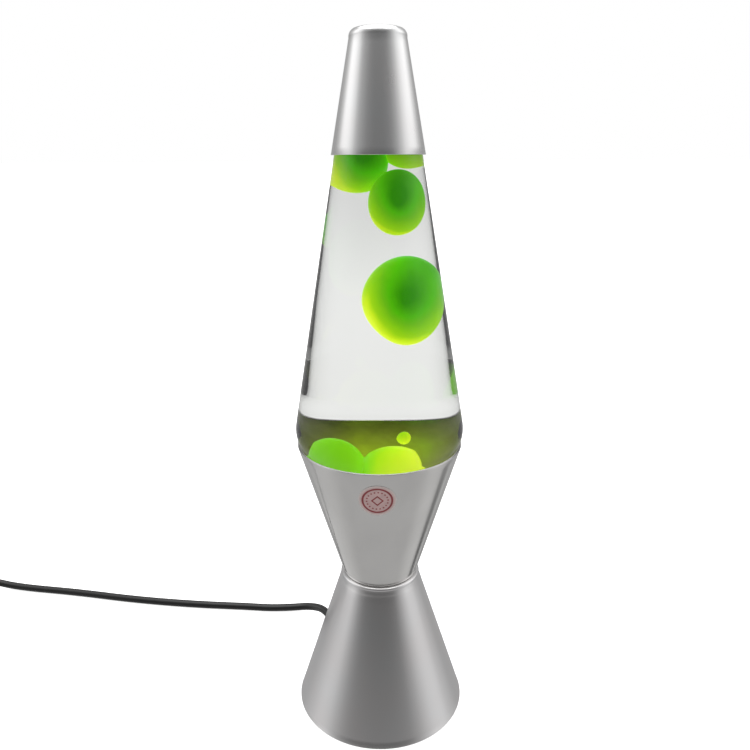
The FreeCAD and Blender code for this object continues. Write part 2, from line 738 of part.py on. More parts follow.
def plug_pins():
    sleeve_end = PIN_SLEEVE_LENGTH
    tip = PIN_LENGTH
    pin = lathe(
        (0, -8),
        (PIN_ROOT_RADIUS, -8),
        (PIN_ROOT_RADIUS, sleeve_end),
        (PIN_RADIUS, sleeve_end),
        (PIN_RADIUS, tip - 1.2),
        ((1.6, tip - 0.35), (0.8, tip)),
        (0, tip),
    )
    return Part.makeCompound([along_plug(pin, x) for x in pin_places()])


def plug_pin_sleeves():
    bore = PIN_ROOT_RADIUS
    sleeve = lathe((bore, 0), (PIN_SLEEVE_RADIUS, 0), (PIN_SLEEVE_RADIUS, PIN_SLEEVE_LENGTH),
                   (bore, PIN_SLEEVE_LENGTH))
    return Part.makeCompound([along_plug(sleeve, x) for x in pin_places()])


# ------------------------------------------------------------------ bulb
def bulb_envelope():
    return lathe(
        (6.2, 70.0),
        (6.2, 73.0),
        ((9.2, 82.0), (14.0, 92.5)),
        (18.6, 103.0),
        ((BULB_RADIUS, 107.0), (18.6, 111.0)),
        dome((18.6, 111.0), BULB_FACE),
        (0, BULB_FACE - 0.8),
        (on_dome((17.9, 110.4), BULB_FACE - 0.8), (17.9, 110.4)),
        ((18.7, 107.0), (17.8, 103.3)),
        (13.3, 92.9),
        ((8.4, 82.3), (5.4, 73.2)),
        (5.4, 70.0),
    )


def bulb_screw_shell():
    """Screw cap, its thread as evenly spaced ridges."""
    low = 54.0
    groove = BULB_CAP_RADIUS - 0.45
    inner = 6.25
    pitch = 2.8
    steps = [(groove, low)]
    for turn in range(BULB_THREAD_TURNS):
        z = low + pitch * turn
        steps.append(((BULB_CAP_RADIUS, z + pitch / 2), (groove, z + pitch)))
    return lathe((inner, low), *steps, (BULB_CAP_RADIUS, BULB_CAP_TOP - 2), (BULB_CAP_RADIUS, BULB_CAP_TOP),
                 (inner, BULB_CAP_TOP))


def bulb_insulator():
    return lathe((0, 51.3), (3.2, 51.3), (5.9, 53.9), (5.9, 56.0), (0, 56.0))


def bulb_contact():
    edge = (2.6, BULB_TIP + 1.25)
    return lathe((0, BULB_TIP), (on_dome(edge, BULB_TIP), edge), (0, BULB_TIP + 1.25))


def bulb_stem():
    return lathe((0, 70.2), (5.3, 70.2), (5.3, 71.4), ((2.8, 73.5), (2.0, 78.0)), (2.0, 86.0), (0, 87.0))


def bulb_filament():
    """Coiled filament as a half ring, on two lead wires from the stem."""
    ring_radius = 5.0
    ring_z = 98.0
    lead = 0.35
    wire_end = Part.Wire(Part.makeCircle(0.55, V(ring_radius, 0, ring_z), V(0, 1, 0)))
    ring = Part.Face(wire_end).revolve(ORIGIN, UP, 180)
    leads = []
    for side in (-1, 1):
        foot = V(side * 1.1, 0, 85.0)
        top = V(side * ring_radius, 0, ring_z)
        leads.append(Part.makeCylinder(lead, foot.distanceToPoint(top), foot, top - foot))
    return ring.fuse(leads)


# ------------------------------------------------------------------ bottle and what it holds
def glass_bottle():
    foot = BOTTLE_FOOT
    mouth = BOTTLE_MOUTH
    return lathe(
        (0, foot + BOTTLE_PUNT),
        (on_dome((BOTTLE_FACE_RADIUS, foot), foot + BOTTLE_PUNT), (BOTTLE_FACE_RADIUS, foot)),
        (27.0, foot),
        ((29.3, foot + 1.0), (30.2, foot + 3.4)),
        (47.2, 180.9),
        ((48.5, 182.6), (49.3, 184.6)),
        ((50.0, 190.3), (49.43, 197.0)),
        (21.56, 361.3),
        ((19.4, 367.4), (14.2, 371.8)),
        ((12.9, 373.6), (12.6, 376.0)),
        (12.6, 381.0),
        (13.3, 382.0),
        (13.3, mouth - 1.2),
        ((12.95, mouth - 0.35), (12.1, mouth)),
        (9.0, mouth),
        *reversed_inside(),
        dome(INSIDE[0], INSIDE_APEX),
    )


def step_end(step):
    return step[1] if isinstance(step[0], tuple) else step


def reversed_inside():
    """The inside's outline walked from the neck down to the punt."""
    steps = [step_end(INSIDE[-1])]
    for index in range(len(INSIDE) - 1, 0, -1):
        end = step_end(INSIDE[index - 1])
        step = INSIDE[index]
        steps.append((step[0], end) if isinstance(step[0], tuple) else end)
    return steps


def shrunk(point, gap):
    """A point of the inside moved away from the glass."""
    r, z = point
    lift = gap if z < INSIDE_APEX else 0.0
    return (r - gap, z + lift)


def bottle_inside(gap, top):
    """Everything inside the glass up to a height, a gap away from it."""
    steps = []
    for step in INSIDE:
        if isinstance(step[0], tuple):
            steps.append((shrunk(step[0], gap), shrunk(step[1], gap)))
        else:
            steps.append(shrunk(step, gap))
    apex = INSIDE_APEX + gap
    neck = steps[-1][1]
    whole = lathe((0, apex), (on_dome(steps[0], apex), steps[0]), *steps[1:], (0, neck[1]))
    return whole.common(disc(60, 100, top))


def mound(centre, radius):
    """Upright column of wax with a domed top."""
    x, y, z = centre
    column = disc(radius, 120, z, x, y)
    return column.fuse(Part.makeSphere(radius, V(x, y, z)))


def wax_pool_envelope():
    pool = disc(60, 100, POOL_LEVEL)
    return pool.fuse([mound(LEFT_MOUND, LEFT_MOUND_RADIUS), mound(RIGHT_MOUND, RIGHT_MOUND_RADIUS)])


def wax_pool():
    radius, z = HEATING_COIL
    cavity = Part.makeTorus(radius, HEATING_COIL_RADIUS + 0.3, V(0, 0, z))
    return bottle_inside(CONTENT_GAP, 200).common(wax_pool_envelope()).cut(cavity).removeSplitter()


def heating_coil():
    radius, z = HEATING_COIL
    return Part.makeTorus(radius, HEATING_COIL_RADIUS, V(0, 0, z))


def top_wax(size, centre):
    return bottle_inside(CONTENT_GAP, TOP_WAX_LEVEL).common(oval(size, centre))


def channel(centre, size, sinks, rises):
    """Round way through the liquid for a blob and its travel."""
    x, y, z = centre
    radius, half_height = size
    return disc(radius + CHANNEL_GAP, z - half_height - sinks - CHANNEL_GAP,
                z + half_height + rises + CHANNEL_GAP, x, y)


def liquid():
    body = bottle_inside(CONTENT_GAP, LIQUID_LEVEL)
    droplet_size = (DROPLET_RADIUS, DROPLET_RADIUS)
    return body.cut([
        wax_pool_envelope(),
        oval(TOP_LEFT_OVAL, TOP_LEFT_WAX),
        oval(TOP_RIGHT_OVAL, TOP_RIGHT_WAX),
        channel(SMALL_BLOB, SMALL_OVAL, SMALL_BLOB_SINKS, 0),
        channel(LARGE_BLOB, LARGE_OVAL, LARGE_BLOB_SINKS, 0),
        channel(DROPLET, droplet_size, 0, DROPLET_RISES),
    ])


def wax_droplet():
    return Part.makeSphere(DROPLET_RADIUS, V(*DROPLET))


def crown_cap():
    top = CROWN_TOP
    sheet = 0.3
    return lathe(
        (0, top),
        (12.3, top),
        ((13.3, top - 0.35), (13.8, top - 1.3)),
        (CROWN_RADIUS, CROWN_SKIRT),
        (CROWN_RADIUS - sheet, CROWN_SKIRT),
        (13.8 - sheet, top - 1.35),
        ((13.05, top - 0.6), (12.2, top - sheet)),
        (0, top - sheet),
    )


def crown_liner():
    return disc(12.1, BOTTLE_MOUTH + 0.05, CROWN_TOP - 0.35)


def top_cap():
    radius, bottom = CAP_BOTTOM
    shoulder_radius, shoulder = CAP_SHOULDER
    wall = CAP_WALL
    return lathe(
        CAP_BOTTOM,
        CAP_SHOULDER,
        ((14.2, 408.2), (11.6, 409.5)),
        dome((11.6, 409.5), CAP_TOP),
        (0, CAP_TOP - wall),
        (on_dome((11.4, 408.4), CAP_TOP - wall), (11.4, 408.4)),
        ((13.2, 407.4), (shoulder_radius - wall, shoulder - 0.1)),
        (radius - wall, bottom),
    )


# ------------------------------------------------------------------ all pieces
def all_pieces():
    housing = switch_shell()
    middle = SWITCH_AXIS
    return {
        "lower_base_shell": lower_base_shell(),
        "upper_base_shell": upper_base_shell(),
        "waist_lock_ring": waist_lock_ring(),
        "globe_seat_ring": globe_seat_ring(),
        "bottom_cover": bottom_cover(),
        "rubber_feet": rubber_feet(),
        "cover_screws": cover_screws(),
        "socket_bracket": socket_bracket(),
        "threaded_stem": threaded_stem(),
        "stem_nuts": stem_nuts(),
        "lamp_holder_body": lamp_holder_body(),
        "lamp_holder_shell": lamp_holder_shell(),
        "lamp_holder_contact": lamp_holder_contact(),
        "lamp_holder_terminals": lamp_holder_terminals(),
        "live_wire": holder_wire("live_wire", 1),
        "neutral_wire": holder_wire("neutral_wire", -1),
        "cord_grommet": cord_grommet(),
        "cord_inlet_length": cord_inlet_length(),
        "round_label": round_label(),
        "cord_run": routed_tube("cord_run", cord_run_route(), CORD_RADIUS),
        "cord_tail": routed_tube("cord_tail", cord_tail_route(), CORD_RADIUS),
        "cord_coil": cord_coil(),
        "cord_end": routed_tube("cord_end", cord_end_route(), CORD_RADIUS),
        "switch_housing_lower": switch_half(housing, -1, middle),
        "switch_housing_upper": switch_half(housing, middle, 30),
        "switch_screws": switch_screws(),
        "switch_contacts": switch_contacts(),
        "switch_rocker": switch_rocker(),
        "plug_body": plug_body(),
        "plug_pins": plug_pins(),
        "plug_pin_sleeves": plug_pin_sleeves(),
        "glass_bottle": glass_bottle(),
        "liquid": liquid(),
        "wax_pool": wax_pool(),
        "heating_coil": heating_coil(),
        "wax_top_left": top_wax(TOP_LEFT_OVAL, TOP_LEFT_WAX),
        "wax_top_right": top_wax(TOP_RIGHT_OVAL, TOP_RIGHT_WAX),
        "large_blob": oval(LARGE_OVAL, LARGE_BLOB),
        "small_blob": oval(SMALL_OVAL, SMALL_BLOB),
        "wax_droplet": wax_droplet(),
        "crown_cap": crown_cap(),
        "crown_liner": crown_liner(),
        "top_cap": top_cap(),
        "bulb_envelope": bulb_envelope(),
        "bulb_screw_shell": bulb_screw_shell(),
        "bulb_insulator": bulb_insulator(),
        "bulb_contact": bulb_contact(),
        "bulb_stem": bulb_stem(),
        "bulb_filament": bulb_filament(),
    }


os.makedirs("parts", exist_ok=True)
for name, shape in all_pieces().items():
    print(name, "valid", shape.isValid(), "solids", len(shape.Solids), "volume", round(shape.Volume, 1))
    shape.exportStep("parts/" + name + ".step")
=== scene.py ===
import math

import bmesh
import bpy
from mathutils import Matrix, Vector


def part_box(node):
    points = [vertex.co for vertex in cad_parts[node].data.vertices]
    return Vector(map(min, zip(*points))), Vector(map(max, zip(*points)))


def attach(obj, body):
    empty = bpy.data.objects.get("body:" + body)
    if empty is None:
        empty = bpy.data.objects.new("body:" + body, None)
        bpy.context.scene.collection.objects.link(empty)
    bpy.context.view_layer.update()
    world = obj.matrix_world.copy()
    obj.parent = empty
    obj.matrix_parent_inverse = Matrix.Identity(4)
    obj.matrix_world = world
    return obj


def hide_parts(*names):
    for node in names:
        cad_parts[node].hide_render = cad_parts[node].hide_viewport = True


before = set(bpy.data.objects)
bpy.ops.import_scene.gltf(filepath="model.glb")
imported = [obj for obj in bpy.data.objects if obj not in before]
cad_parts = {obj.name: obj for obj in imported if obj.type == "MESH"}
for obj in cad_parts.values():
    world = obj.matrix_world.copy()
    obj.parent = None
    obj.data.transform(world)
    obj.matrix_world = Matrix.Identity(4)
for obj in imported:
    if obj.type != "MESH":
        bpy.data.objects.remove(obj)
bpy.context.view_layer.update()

# Lengths below are millimetres in the frame's axes, and MM turns them into metres.
# A pair of numbers in an outline is (radius, height).
MM = 0.001

scene = bpy.context.scene
scene.view_settings.view_transform = "Standard"


# ------------ camera
CAMERA_PLACE = (-2.5, -400.8, 346.1)
CAMERA_DIP = 17.05                # degrees below the horizon
CAMERA_ROLL = -0.33               # degrees
CAMERA_LENS = 34.08               # millimetres, like the sensor
CAMERA_SENSOR = 36.0


def make_camera():
    data = bpy.data.cameras.new("camera")
    data.lens = CAMERA_LENS
    data.sensor_width = CAMERA_SENSOR
    data.clip_start = 0.01
    camera = bpy.data.objects.new("camera", data)
    tilt = Matrix.Rotation(math.radians(90 - CAMERA_DIP), 4, "X")
    roll = Matrix.Rotation(math.radians(CAMERA_ROLL), 4, "Z")
    camera.matrix_world = Matrix.Translation(Vector(CAMERA_PLACE) * MM) @ tilt @ roll
    scene.collection.objects.link(camera)
    scene.camera = camera


# ------------ sizes taken from the frame
def radius_of(node):
    """Largest radius of a node that is turned about the lamp's axis."""
    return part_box(node)[1].x / MM


def low_of(node):
    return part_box(node)[0].z / MM


def high_of(node):
    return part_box(node)[1].z / MM


# ------------ shape helpers
ARC_STEPS = 10
FINE_TURN = 256                   # segments round the large turned pieces


def rounded(corners, closed=True, steps=6):
    """Outline through corners (r, z) or (r, z, fillet radius), with those corners rounded."""
    points = []
    count = len(corners)
    for index, corner in enumerate(corners):
        here = Vector(corner[:2])
        radius = corner[2] if len(corner) > 2 else 0
        if radius == 0:
            points.append(here)
            continue
        to_before = Vector(corners[index - 1][:2]) - here
        to_after = Vector(corners[(index + 1) % count][:2]) - here
        half = to_before.angle(to_after) / 2
        reach = min(radius / math.tan(half), 0.49 * to_before.length, 0.49 * to_after.length)
        start = here + to_before.normalized() * reach
        end = here + to_after.normalized() * reach
        inward = (to_before.normalized() + to_after.normalized()).normalized()
        centre = here + inward * (reach / math.cos(half))
        spoke = start - centre
        turn = spoke.angle_signed(end - centre)
        for step in range(steps + 1):
            points.append(centre + Matrix.Rotation(-turn * step / steps, 2) @ spoke)
    return evenly(points, closed)


def evenly(points, closed, longest=4.0):
    """The same outline with its long runs divided."""
    result = []
    ends = points[1:] + points[:1] if closed else points[1:]
    for here, after in zip(points, ends):
        parts = max(1, math.ceil((after - here).length / longest))
        result += [here.lerp(after, part / parts) for part in range(parts)]
    if not closed:
        result.append(points[-1])
    return result


def arc(start, via, end):
    """Points after start on the circle through three points."""
    a, b, c = (Vector(point) for point in (start, via, end))
    aa, bb, cc = (point.length_squared for point in (a, b, c))
    scale = 2 * (a.x * (b.y - c.y) + b.x * (c.y - a.y) + c.x * (a.y - b.y))
    centre = Vector(((aa * (b.y - c.y) + bb * (c.y - a.y) + cc * (a.y - b.y)) / scale,
                     (aa * (c.x - b.x) + bb * (a.x - c.x) + cc * (b.x - a.x)) / scale))
    turn = (a - centre).angle_signed(b - centre) + (b - centre).angle_signed(c - centre)
    return [centre + Matrix.Rotation(-turn * step / ARC_STEPS, 2) @ (a - centre)
            for step in range(1, ARC_STEPS + 1)]


def traced(start, *steps, closed=False):
    """Outline from a start. A step is a corner (r, z), or an arc given as (via, end)."""
    points = [Vector(start)]
    for step in steps:
        if isinstance(step[0], tuple):
            points += arc(points[-1], *step)
        else:
            points.append(Vector(step))
    return evenly(points, closed)


def band(bm, one, other):
    """Faces between two rings of vertices, of which either may be a single tip."""
    for index in range(max(len(one), len(other))):
        corners = (one[index % len(one)], one[(index + 1) % len(one)],
                   other[(index + 1) % len(other)], other[index % len(other)])
        bm.faces.new(tuple(dict.fromkeys(corners)))


def turned_mesh(outline, segments=FINE_TURN, closed=True, wobble=None):
    """Mesh of an outline turned about Z, in metres. wobble(r, z, angle) may give another radius."""
    bm = bmesh.new()
    rings = []
    for r, z in outline:
        if r < 1e-6:
            rings.append([bm.verts.new((0, 0, z * MM))])
            continue
        ring = []
        for index in range(segments):
            angle = math.tau * index / segments
            reach = wobble(r, z, angle) if wobble else r
            ring.append(bm.verts.new((reach * math.cos(angle) * MM, reach * math.sin(angle) * MM, z * MM)))
        rings.append(ring)
    following = rings[1:] + rings[:1] if closed else rings[1:]
    for one, other in zip(rings, following):
        band(bm, one, other)
    bmesh.ops.recalc_face_normals(bm, faces=bm.faces)
    return bm


def as_object(name, bm, sharp=38.0):
    """Smooth object from a bmesh, with edges kept where faces meet at over sharp degrees."""
    mesh = bpy.data.meshes.new(name)
    bm.to_mesh(mesh)
    bm.free()
    mesh.shade_smooth()
    mesh.set_sharp_from_angle(angle=math.radians(sharp))
    obj = bpy.data.objects.new(name, mesh)
    scene.collection.objects.link(obj)
    return obj


def wire(name, kind, places, radius, roundness):
    """Round wire or cord through places, as a curve."""
    data = bpy.data.curves.new(name, "CURVE")
    data.dimensions = "3D"
    data.bevel_depth = radius * MM
    data.bevel_resolution = roundness
    spline = data.splines.new(kind)
    spline.points.add(len(places) - 1)
    for point, place in zip(spline.points, places):
        point.co = (*(value * MM for value in place), 1)
    obj = bpy.data.objects.new(name, data)
    scene.collection.objects.link(obj)
    return obj


def dress(obj, material, body, slot, *nodes):
    """Gives a piece its material and its body, and hides the CAD nodes that it stands for. The slot is not
    used.
    """
    obj.data.materials.clear()
    obj.data.materials.append(material)
    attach(obj, body)
    if nodes:
        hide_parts(*nodes)
    return obj


def lined(piece, second, is_second):
    """Gives a second material to faces picked by is_second(radius, height, upward part of normal)."""
    piece.data.materials.append(second)
    for face in piece.data.polygons:
        middle = face.center / MM
        if is_second(math.hypot(middle.x, middle.y), middle.z, face.normal.z):
            face.material_index = 1
    return piece


# ------------ material helpers
# Sockets of a Mix node that mixes colours.
MIX_SHARE = 0
MIX_FIRST = 6
MIX_SECOND = 7
MIX_RESULT = 2


class NodeKit:
    """Nodes of a material or a world. A value is a number, a colour (r, g, b) or a node's output."""

    def __init__(self, owner):
        owner.use_nodes = True
        self.nodes = owner.node_tree.nodes
        self.links = owner.node_tree.links

    def feed(self, target, value):
        """Sets an input to a number or a colour, or links an output to it."""
        if isinstance(value, tuple):
            target.default_value = (*value, 1)
        elif isinstance(value, (int, float)):
            target.default_value = value
        else:
            self.links.new(value, target)

    def math(self, operation, one, other=0.0):
        node = self.nodes.new("ShaderNodeMath")
        node.operation = operation
        self.feed(node.inputs[0], one)
        self.feed(node.inputs[1], other)
        return node.outputs["Value"]

    def ramp(self, value, *stops, interpolation="LINEAR"):
        """Colours from (place, (r, g, b)) stops."""
        node = self.nodes.new("ShaderNodeValToRGB")
        node.color_ramp.interpolation = interpolation
        elements = node.color_ramp.elements
        while len(elements) < len(stops):
            elements.new(0.5)
        for element, (place, colour) in zip(elements, stops):
            element.position = place
            element.color = (*colour, 1)
        self.feed(node.inputs["Fac"], value)
        return node.outputs["Color"]

    def parts(self, vector):
        """The x, y and z of a vector."""
        node = self.nodes.new("ShaderNodeSeparateXYZ")
        self.feed(node.inputs["Vector"], vector)
        return [node.outputs[axis] for axis in "XYZ"]

    def mix(self, share, one, other, kind="MIX"):
        node = self.nodes.new("ShaderNodeMix")
        node.data_type = "RGBA"
        node.blend_type = kind
        self.feed(node.inputs[MIX_SHARE], share)
        self.feed(node.inputs[MIX_FIRST], one)
        self.feed(node.inputs[MIX_SECOND], other)
        return node.outputs[MIX_RESULT]


class Look(NodeKit):
    """One node material. Texture sizes are in millimetres, and plain values go on the shader."""

    def __init__(self, name, **values):
        self.material = bpy.data.materials.new(name)
        super().__init__(self.material)
        self.shader = next(node for node in self.nodes if node.type == "BSDF_PRINCIPLED")
        self.place = self.nodes.new("ShaderNodeTexCoord").outputs["Object"]
        for key, value in values.items():
            self.to(key.replace("_", " ").title().replace("Ior", "IOR"), value)

    def to(self, name, value):
        """Gives an input of the shader its value."""
        self.feed(self.shader.inputs[name], value)

    def scaled(self, stretch=(1, 1, 1)):
        """The place on the piece in millimetres, times stretch."""
        mapping = self.nodes.new("ShaderNodeMapping")
        mapping.inputs["Scale"].default_value = [value / MM for value in stretch]
        self.feed(mapping.inputs["Vector"], self.place)
        return mapping.outputs["Vector"]

    def noise(self, grain, stretch=(1, 1, 1), detail=3.0):
        """Noise whose grain is about that many millimetres across, divided by stretch per axis."""
        node = self.nodes.new("ShaderNodeTexNoise")
        node.inputs["Scale"].default_value = 1 / grain
        node.inputs["Detail"].default_value = detail
        self.feed(node.inputs["Vector"], self.scaled(stretch))
        return node.outputs["Fac"]

    def vector(self, operation, one, other=(0, 0, 0)):
        node = self.nodes.new("ShaderNodeVectorMath")
        node.operation = operation
        self.feed(node.inputs[0], one)
        node.inputs[1].default_value = other
        return node.outputs["Value" if operation in ("DOT_PRODUCT", "LENGTH") else "Vector"]

    def along(self, direction, low, high):
        """0 to 1 from low to high, in millimetres along a direction."""
        return self.span(self.vector("DOT_PRODUCT", self.scaled(), direction), low, high, 0, 1)

    def span(self, value, low, high, to_low, to_high):
        """The value with its range low to high moved to another, and held at the ends."""
        node = self.nodes.new("ShaderNodeMapRange")
        for name, number in (("From Min", low), ("From Max", high), ("To Min", to_low), ("To Max", to_high)):
            node.inputs[name].default_value = number
        self.feed(node.inputs["Value"], value)
        return node.outputs["Result"]

    def bump(self, height, depth, strength=1.0):
        """Surface relief, depth in millimetres for a height from 0 to 1."""
        node = self.nodes.new("ShaderNodeBump")
        node.inputs["Strength"].default_value = strength
        node.inputs["Distance"].default_value = depth * MM
        self.feed(node.inputs["Height"], height)
        self.to("Normal", node.outputs["Normal"])

    def spin(self):
        """Highlights that stretch across grooves that run round the lamp's axis."""
        node = self.nodes.new("ShaderNodeTangent")
        node.direction_type = "RADIAL"
        node.axis = "Z"
        self.to("Tangent", node.outputs["Tangent"])
        self.to("Anisotropic Rotation", 0.25)    # of a full turn


def grey(value):
    return (value, value, value)


def tinted(tone, tint):
    return tuple(part * share for part, share in zip(tone, tint))


def shaded(tone, share):
    return tinted(tone, grey(share))


def stained(look, tone):
    """Gives worn metal its stained colour, and returns the pattern of the stains."""
    stain = look.noise(6, detail=5.0)
    look.to("Base Color", look.ramp(stain, (0.32, shaded(tone, 0.72)), (0.62, tone)))
    return stain


def spun_metal(name, tone, roughness, anisotropy, line_depth):
    """Aluminium with fine grooves round the axis and faint warm and cool clouds."""
    look = Look(name, metallic=1.0, anisotropic=anisotropy)
    fine = look.noise(0.35, (0.015, 0.015, 1), 2.0)
    coarse = look.noise(2.6, (0.04, 0.04, 1), 3.0)
    cloud = look.noise(24, (1, 1, 0.7), 2.0)
    lines = look.math("ADD", look.math("MULTIPLY", fine, 0.65), look.math("MULTIPLY", coarse, 0.35))
    shade = look.ramp(lines, (0.30, shaded(tone, 0.985)), (0.68, tone))
    warm = tinted(tone, (0.97, 0.93, 0.92))
    cool = tinted(tone, (0.97, 1.0, 1.01))
    look.to("Base Color", look.mix(0.5, shade, look.ramp(cloud, (0.2, warm), (0.8, cool))))
    look.to("Roughness", look.span(cloud, 0, 1, roughness + 0.012, roughness - 0.012))
    look.bump(lines, line_depth)
    look.spin()
    return look.material


def smooth_metal(name, tone, roughness):
    """Satin aluminium, with only faint marks."""
    look = Look(name, metallic=1.0, anisotropic=0.35)
    cloud = look.noise(18, (1, 1, 0.5), 3.0)
    lines = look.noise(0.6, (0.02, 0.02, 1), 2.0)
    look.to("Base Color", look.ramp(cloud, (0.3, shaded(tone, 0.94)), (0.7, tone)))
    look.to("Roughness", look.span(cloud, 0.3, 0.7, roughness + 0.03, roughness - 0.02))
    look.bump(lines, 0.002)
    look.spin()
    return look.material


def worn_metal(name, tone, roughness, grain=0.5, depth=0.01):
    """Plated or rolled metal of the inner pieces, a little stained."""
    look = Look(name, metallic=1.0)
    look.to("Roughness", look.span(stained(look, tone), 0.3, 0.7, roughness + 0.12, roughness))
    look.bump(look.noise(grain), depth)
    return look.material


def glow_painted_metal(name, tone, light):
    """Inside of the cup: worn metal with a painted green glow, as emission, for the light that comes out of
    the wax; its tone carries painted green light too.
    """
    look = Look(name, metallic=1.0, emission_color=light)
    look.to("Roughness", look.span(stained(look, tone), 0.3, 0.7, 0.46, 0.34))
    # Painted glow, brightest across the middle and low down near the wax.
    across = look.ramp(look.along((1, 0, 0), -48, 50),
                       (0.12, grey(0.10)), (0.45, grey(0.9)), (0.62, grey(1.0)), (0.90, grey(0.25)))
    down = look.ramp(look.along((0, 0, -1), -182, -150),
                     (0.0, grey(0.02)), (0.45, grey(0.55)), (1.0, grey(1.0)))
    look.to("Emission Strength", look.math("MULTIPLY", across, down))
    return look.material


def plastic(name, tone, roughness, grain=0.35, depth=0.02, coat=0.0):
    """Moulded plastic or rubber with a fine grain."""
    look = Look(name, coat_weight=coat, coat_roughness=0.15)
    speck = look.noise(grain, detail=2.0)
    cloud = look.noise(9)
    look.to("Base Color", look.ramp(cloud, (0.3, shaded(tone, 0.8)), (0.7, tone)))
    look.to("Roughness", look.span(speck, 0.3, 0.7, roughness - 0.05, roughness + 0.08))
    look.bump(speck, depth)
    return look.material


GLASS_IOR = 1.5
LIQUID_IOR = 1.34
LIQUID_SIDE_IOR = 1.001           # next to none, because the wet glass already bends the light
FACING_SHINE = 0.4                # reflection of the glass when met straight on, against real glass


def clear_glass(name, ior):
    """Glass of the bottle. The face that the liquid wets has the two materials' relative index."""
    look = Look(name, transmission_weight=1.0, ior=ior, specular_tint=grey(FACING_SHINE))
    wave = look.noise(18, (1, 1, 0.4), 1.0)
    look.to("Base Color", look.ramp(wave, (0.3, (0.985, 0.990, 0.985)), (0.7, (0.995, 1.0, 0.995))))
    look.to("Roughness", look.span(wave, 0.3, 0.7, 0.0, 0.006))
    look.bump(wave, 0.2, 0.5)
    return look.material


def clear_liquid(name, ior):
    """Liquid, a little yellower low down."""
    look = Look(name, transmission_weight=1.0, ior=ior, roughness=0.0)
    depth = look.along((0, 0, 1), 130, 350)
    look.to("Base Color", look.ramp(depth, (0.0, (0.99, 0.992, 0.975)), (1.0, (0.985, 0.985, 0.98))))
    return look.material


def one_way(centre, direction, reach):
    """Level of painted light that rises from 0 to 1 through a piece of wax along a direction."""
    way = Vector(direction).normalized()
    middle = way.dot(Vector(centre))
    return lambda look: look.along(way, middle - reach, middle + reach)


def outward(centre, half, lean):
    """Level of painted light that rises from a blob's middle, where shade is painted, to its edge, more so
    where it leans, all as (x, z).
    """
    def level(look):
        across = look.span(look.along((1, 0, 0), centre[0] - half[0], centre[0] + half[0]), 0, 1, -1, 1)
        up = look.span(look.along((0, 0, 1), centre[1] - half[1], centre[1] + half[1]), 0, 1, -1, 1)
        square = look.math("ADD", look.math("MULTIPLY", across, across), look.math("MULTIPLY", up, up))
        leaning = look.math("ADD", look.math("MULTIPLY", across, lean[0]), look.math("MULTIPLY", up, lean[1]))
        return look.span(look.math("ADD", look.math("POWER", square, 0.5), leaning), 0, 1.5, 0, 1)
    return level


# Colours of the wax over the green of its dye, from a middle with painted shade to an edge with painted
# light.
DARK = (0.028, 0.250, 0.001)
GREEN = (0.078, 0.450, 0.003)
FRESH = (0.140, 0.470, 0.008)
LIME = (0.320, 0.640, 0.008)
LEMON = (0.560, 0.800, 0.015)
GOLD = (0.720, 0.920, 0.030)


def wax(name, level, painted_glow, *stops):
    """Dyed wax with a painted glow, as emission in its own colours, for the light inside it. The stops colour
    it along its level, from painted shade to painted light.
    """
    look = Look(name, roughness=0.3, subsurface_weight=0.6, subsurface_scale=0.008, ior=1.1,
                emission_strength=painted_glow)
    look.shader.inputs["Subsurface Radius"].default_value = (0.7, 1.0, 0.08)
    drift = look.span(look.noise(14, detail=2.0), 0.3, 0.7, -0.04, 0.04)
    colour = look.ramp(look.math("ADD", level(look), drift), *stops)
    look.to("Base Color", colour)
    # The emission colour is the same ramp: a painted glow.
    look.to("Emission Color", colour)
    look.bump(look.noise(7, detail=1.0), 0.1)
    return look.material


# ------------ the cord
# From the floor onwards the route is the one that the CAD solids follow.
CORD_RADIUS = 2.8
CORD_ANGLE = 121.0                # degrees from +X, where the cord leaves the base
CORD_HEIGHT = 9.5
GROMMET_INNER_END = 43.5          # distances from the lamp's axis
GROMMET_OUTSIDE = 52.8
GROMMET_TIP = 71.0
SWITCH_Y = 120.0
SWITCH_AXIS = 8.0
SWITCH_ENDS = (-348.0, -404.0)    # x of the faces that the cord goes through
COIL_CENTRE = (-444.0, 77.5)
COIL_OUTER = 42.5
COIL_INNER = 24.4
COIL_TURNS = 6.5
COIL_STEP = 5.84                  # from one turn to the next
COIL_CLIMB = (3.1, 3.4)           # the turns between which it climbs to its upper layer
COIL_POINTS = 16                  # in one turn
PLUG_X = -403.0
PLUG_HEIGHT = 6.85
PLUG_SLEEVE_START = -6.0          # the plug points towards -Y from here


def from_axis(distance, height):
    """A point that far out along the cord's direction."""
    angle = math.radians(CORD_ANGLE)
    return (distance * math.cos(angle), distance * math.sin(angle), height)


def coil_points():
    """The put-away cord: a lower layer wound inwards, then an upper one outwards."""
    low_layer = CORD_RADIUS
    high_layer = 3 * CORD_RADIUS
    climb_start, climb_end = COIL_CLIMB
    points = []
    for index in range(int(COIL_TURNS * COIL_POINTS) + 1):
        turn = index / COIL_POINTS
        if turn < climb_start:
            radius = COIL_OUTER - COIL_STEP * turn
            height = low_layer
        elif turn < climb_end:
            radius = COIL_INNER
            share = (turn - climb_start) / (climb_end - climb_start)
            height = low_layer + (high_layer - low_layer) * share
        else:
            radius = COIL_INNER + COIL_STEP * (turn - climb_end)
            height = high_layer
        angle = math.radians(90 + 360 * turn)
        points.append((COIL_CENTRE[0] + radius * math.cos(angle),
                       COIL_CENTRE[1] + radius * math.sin(angle), height))
    return points


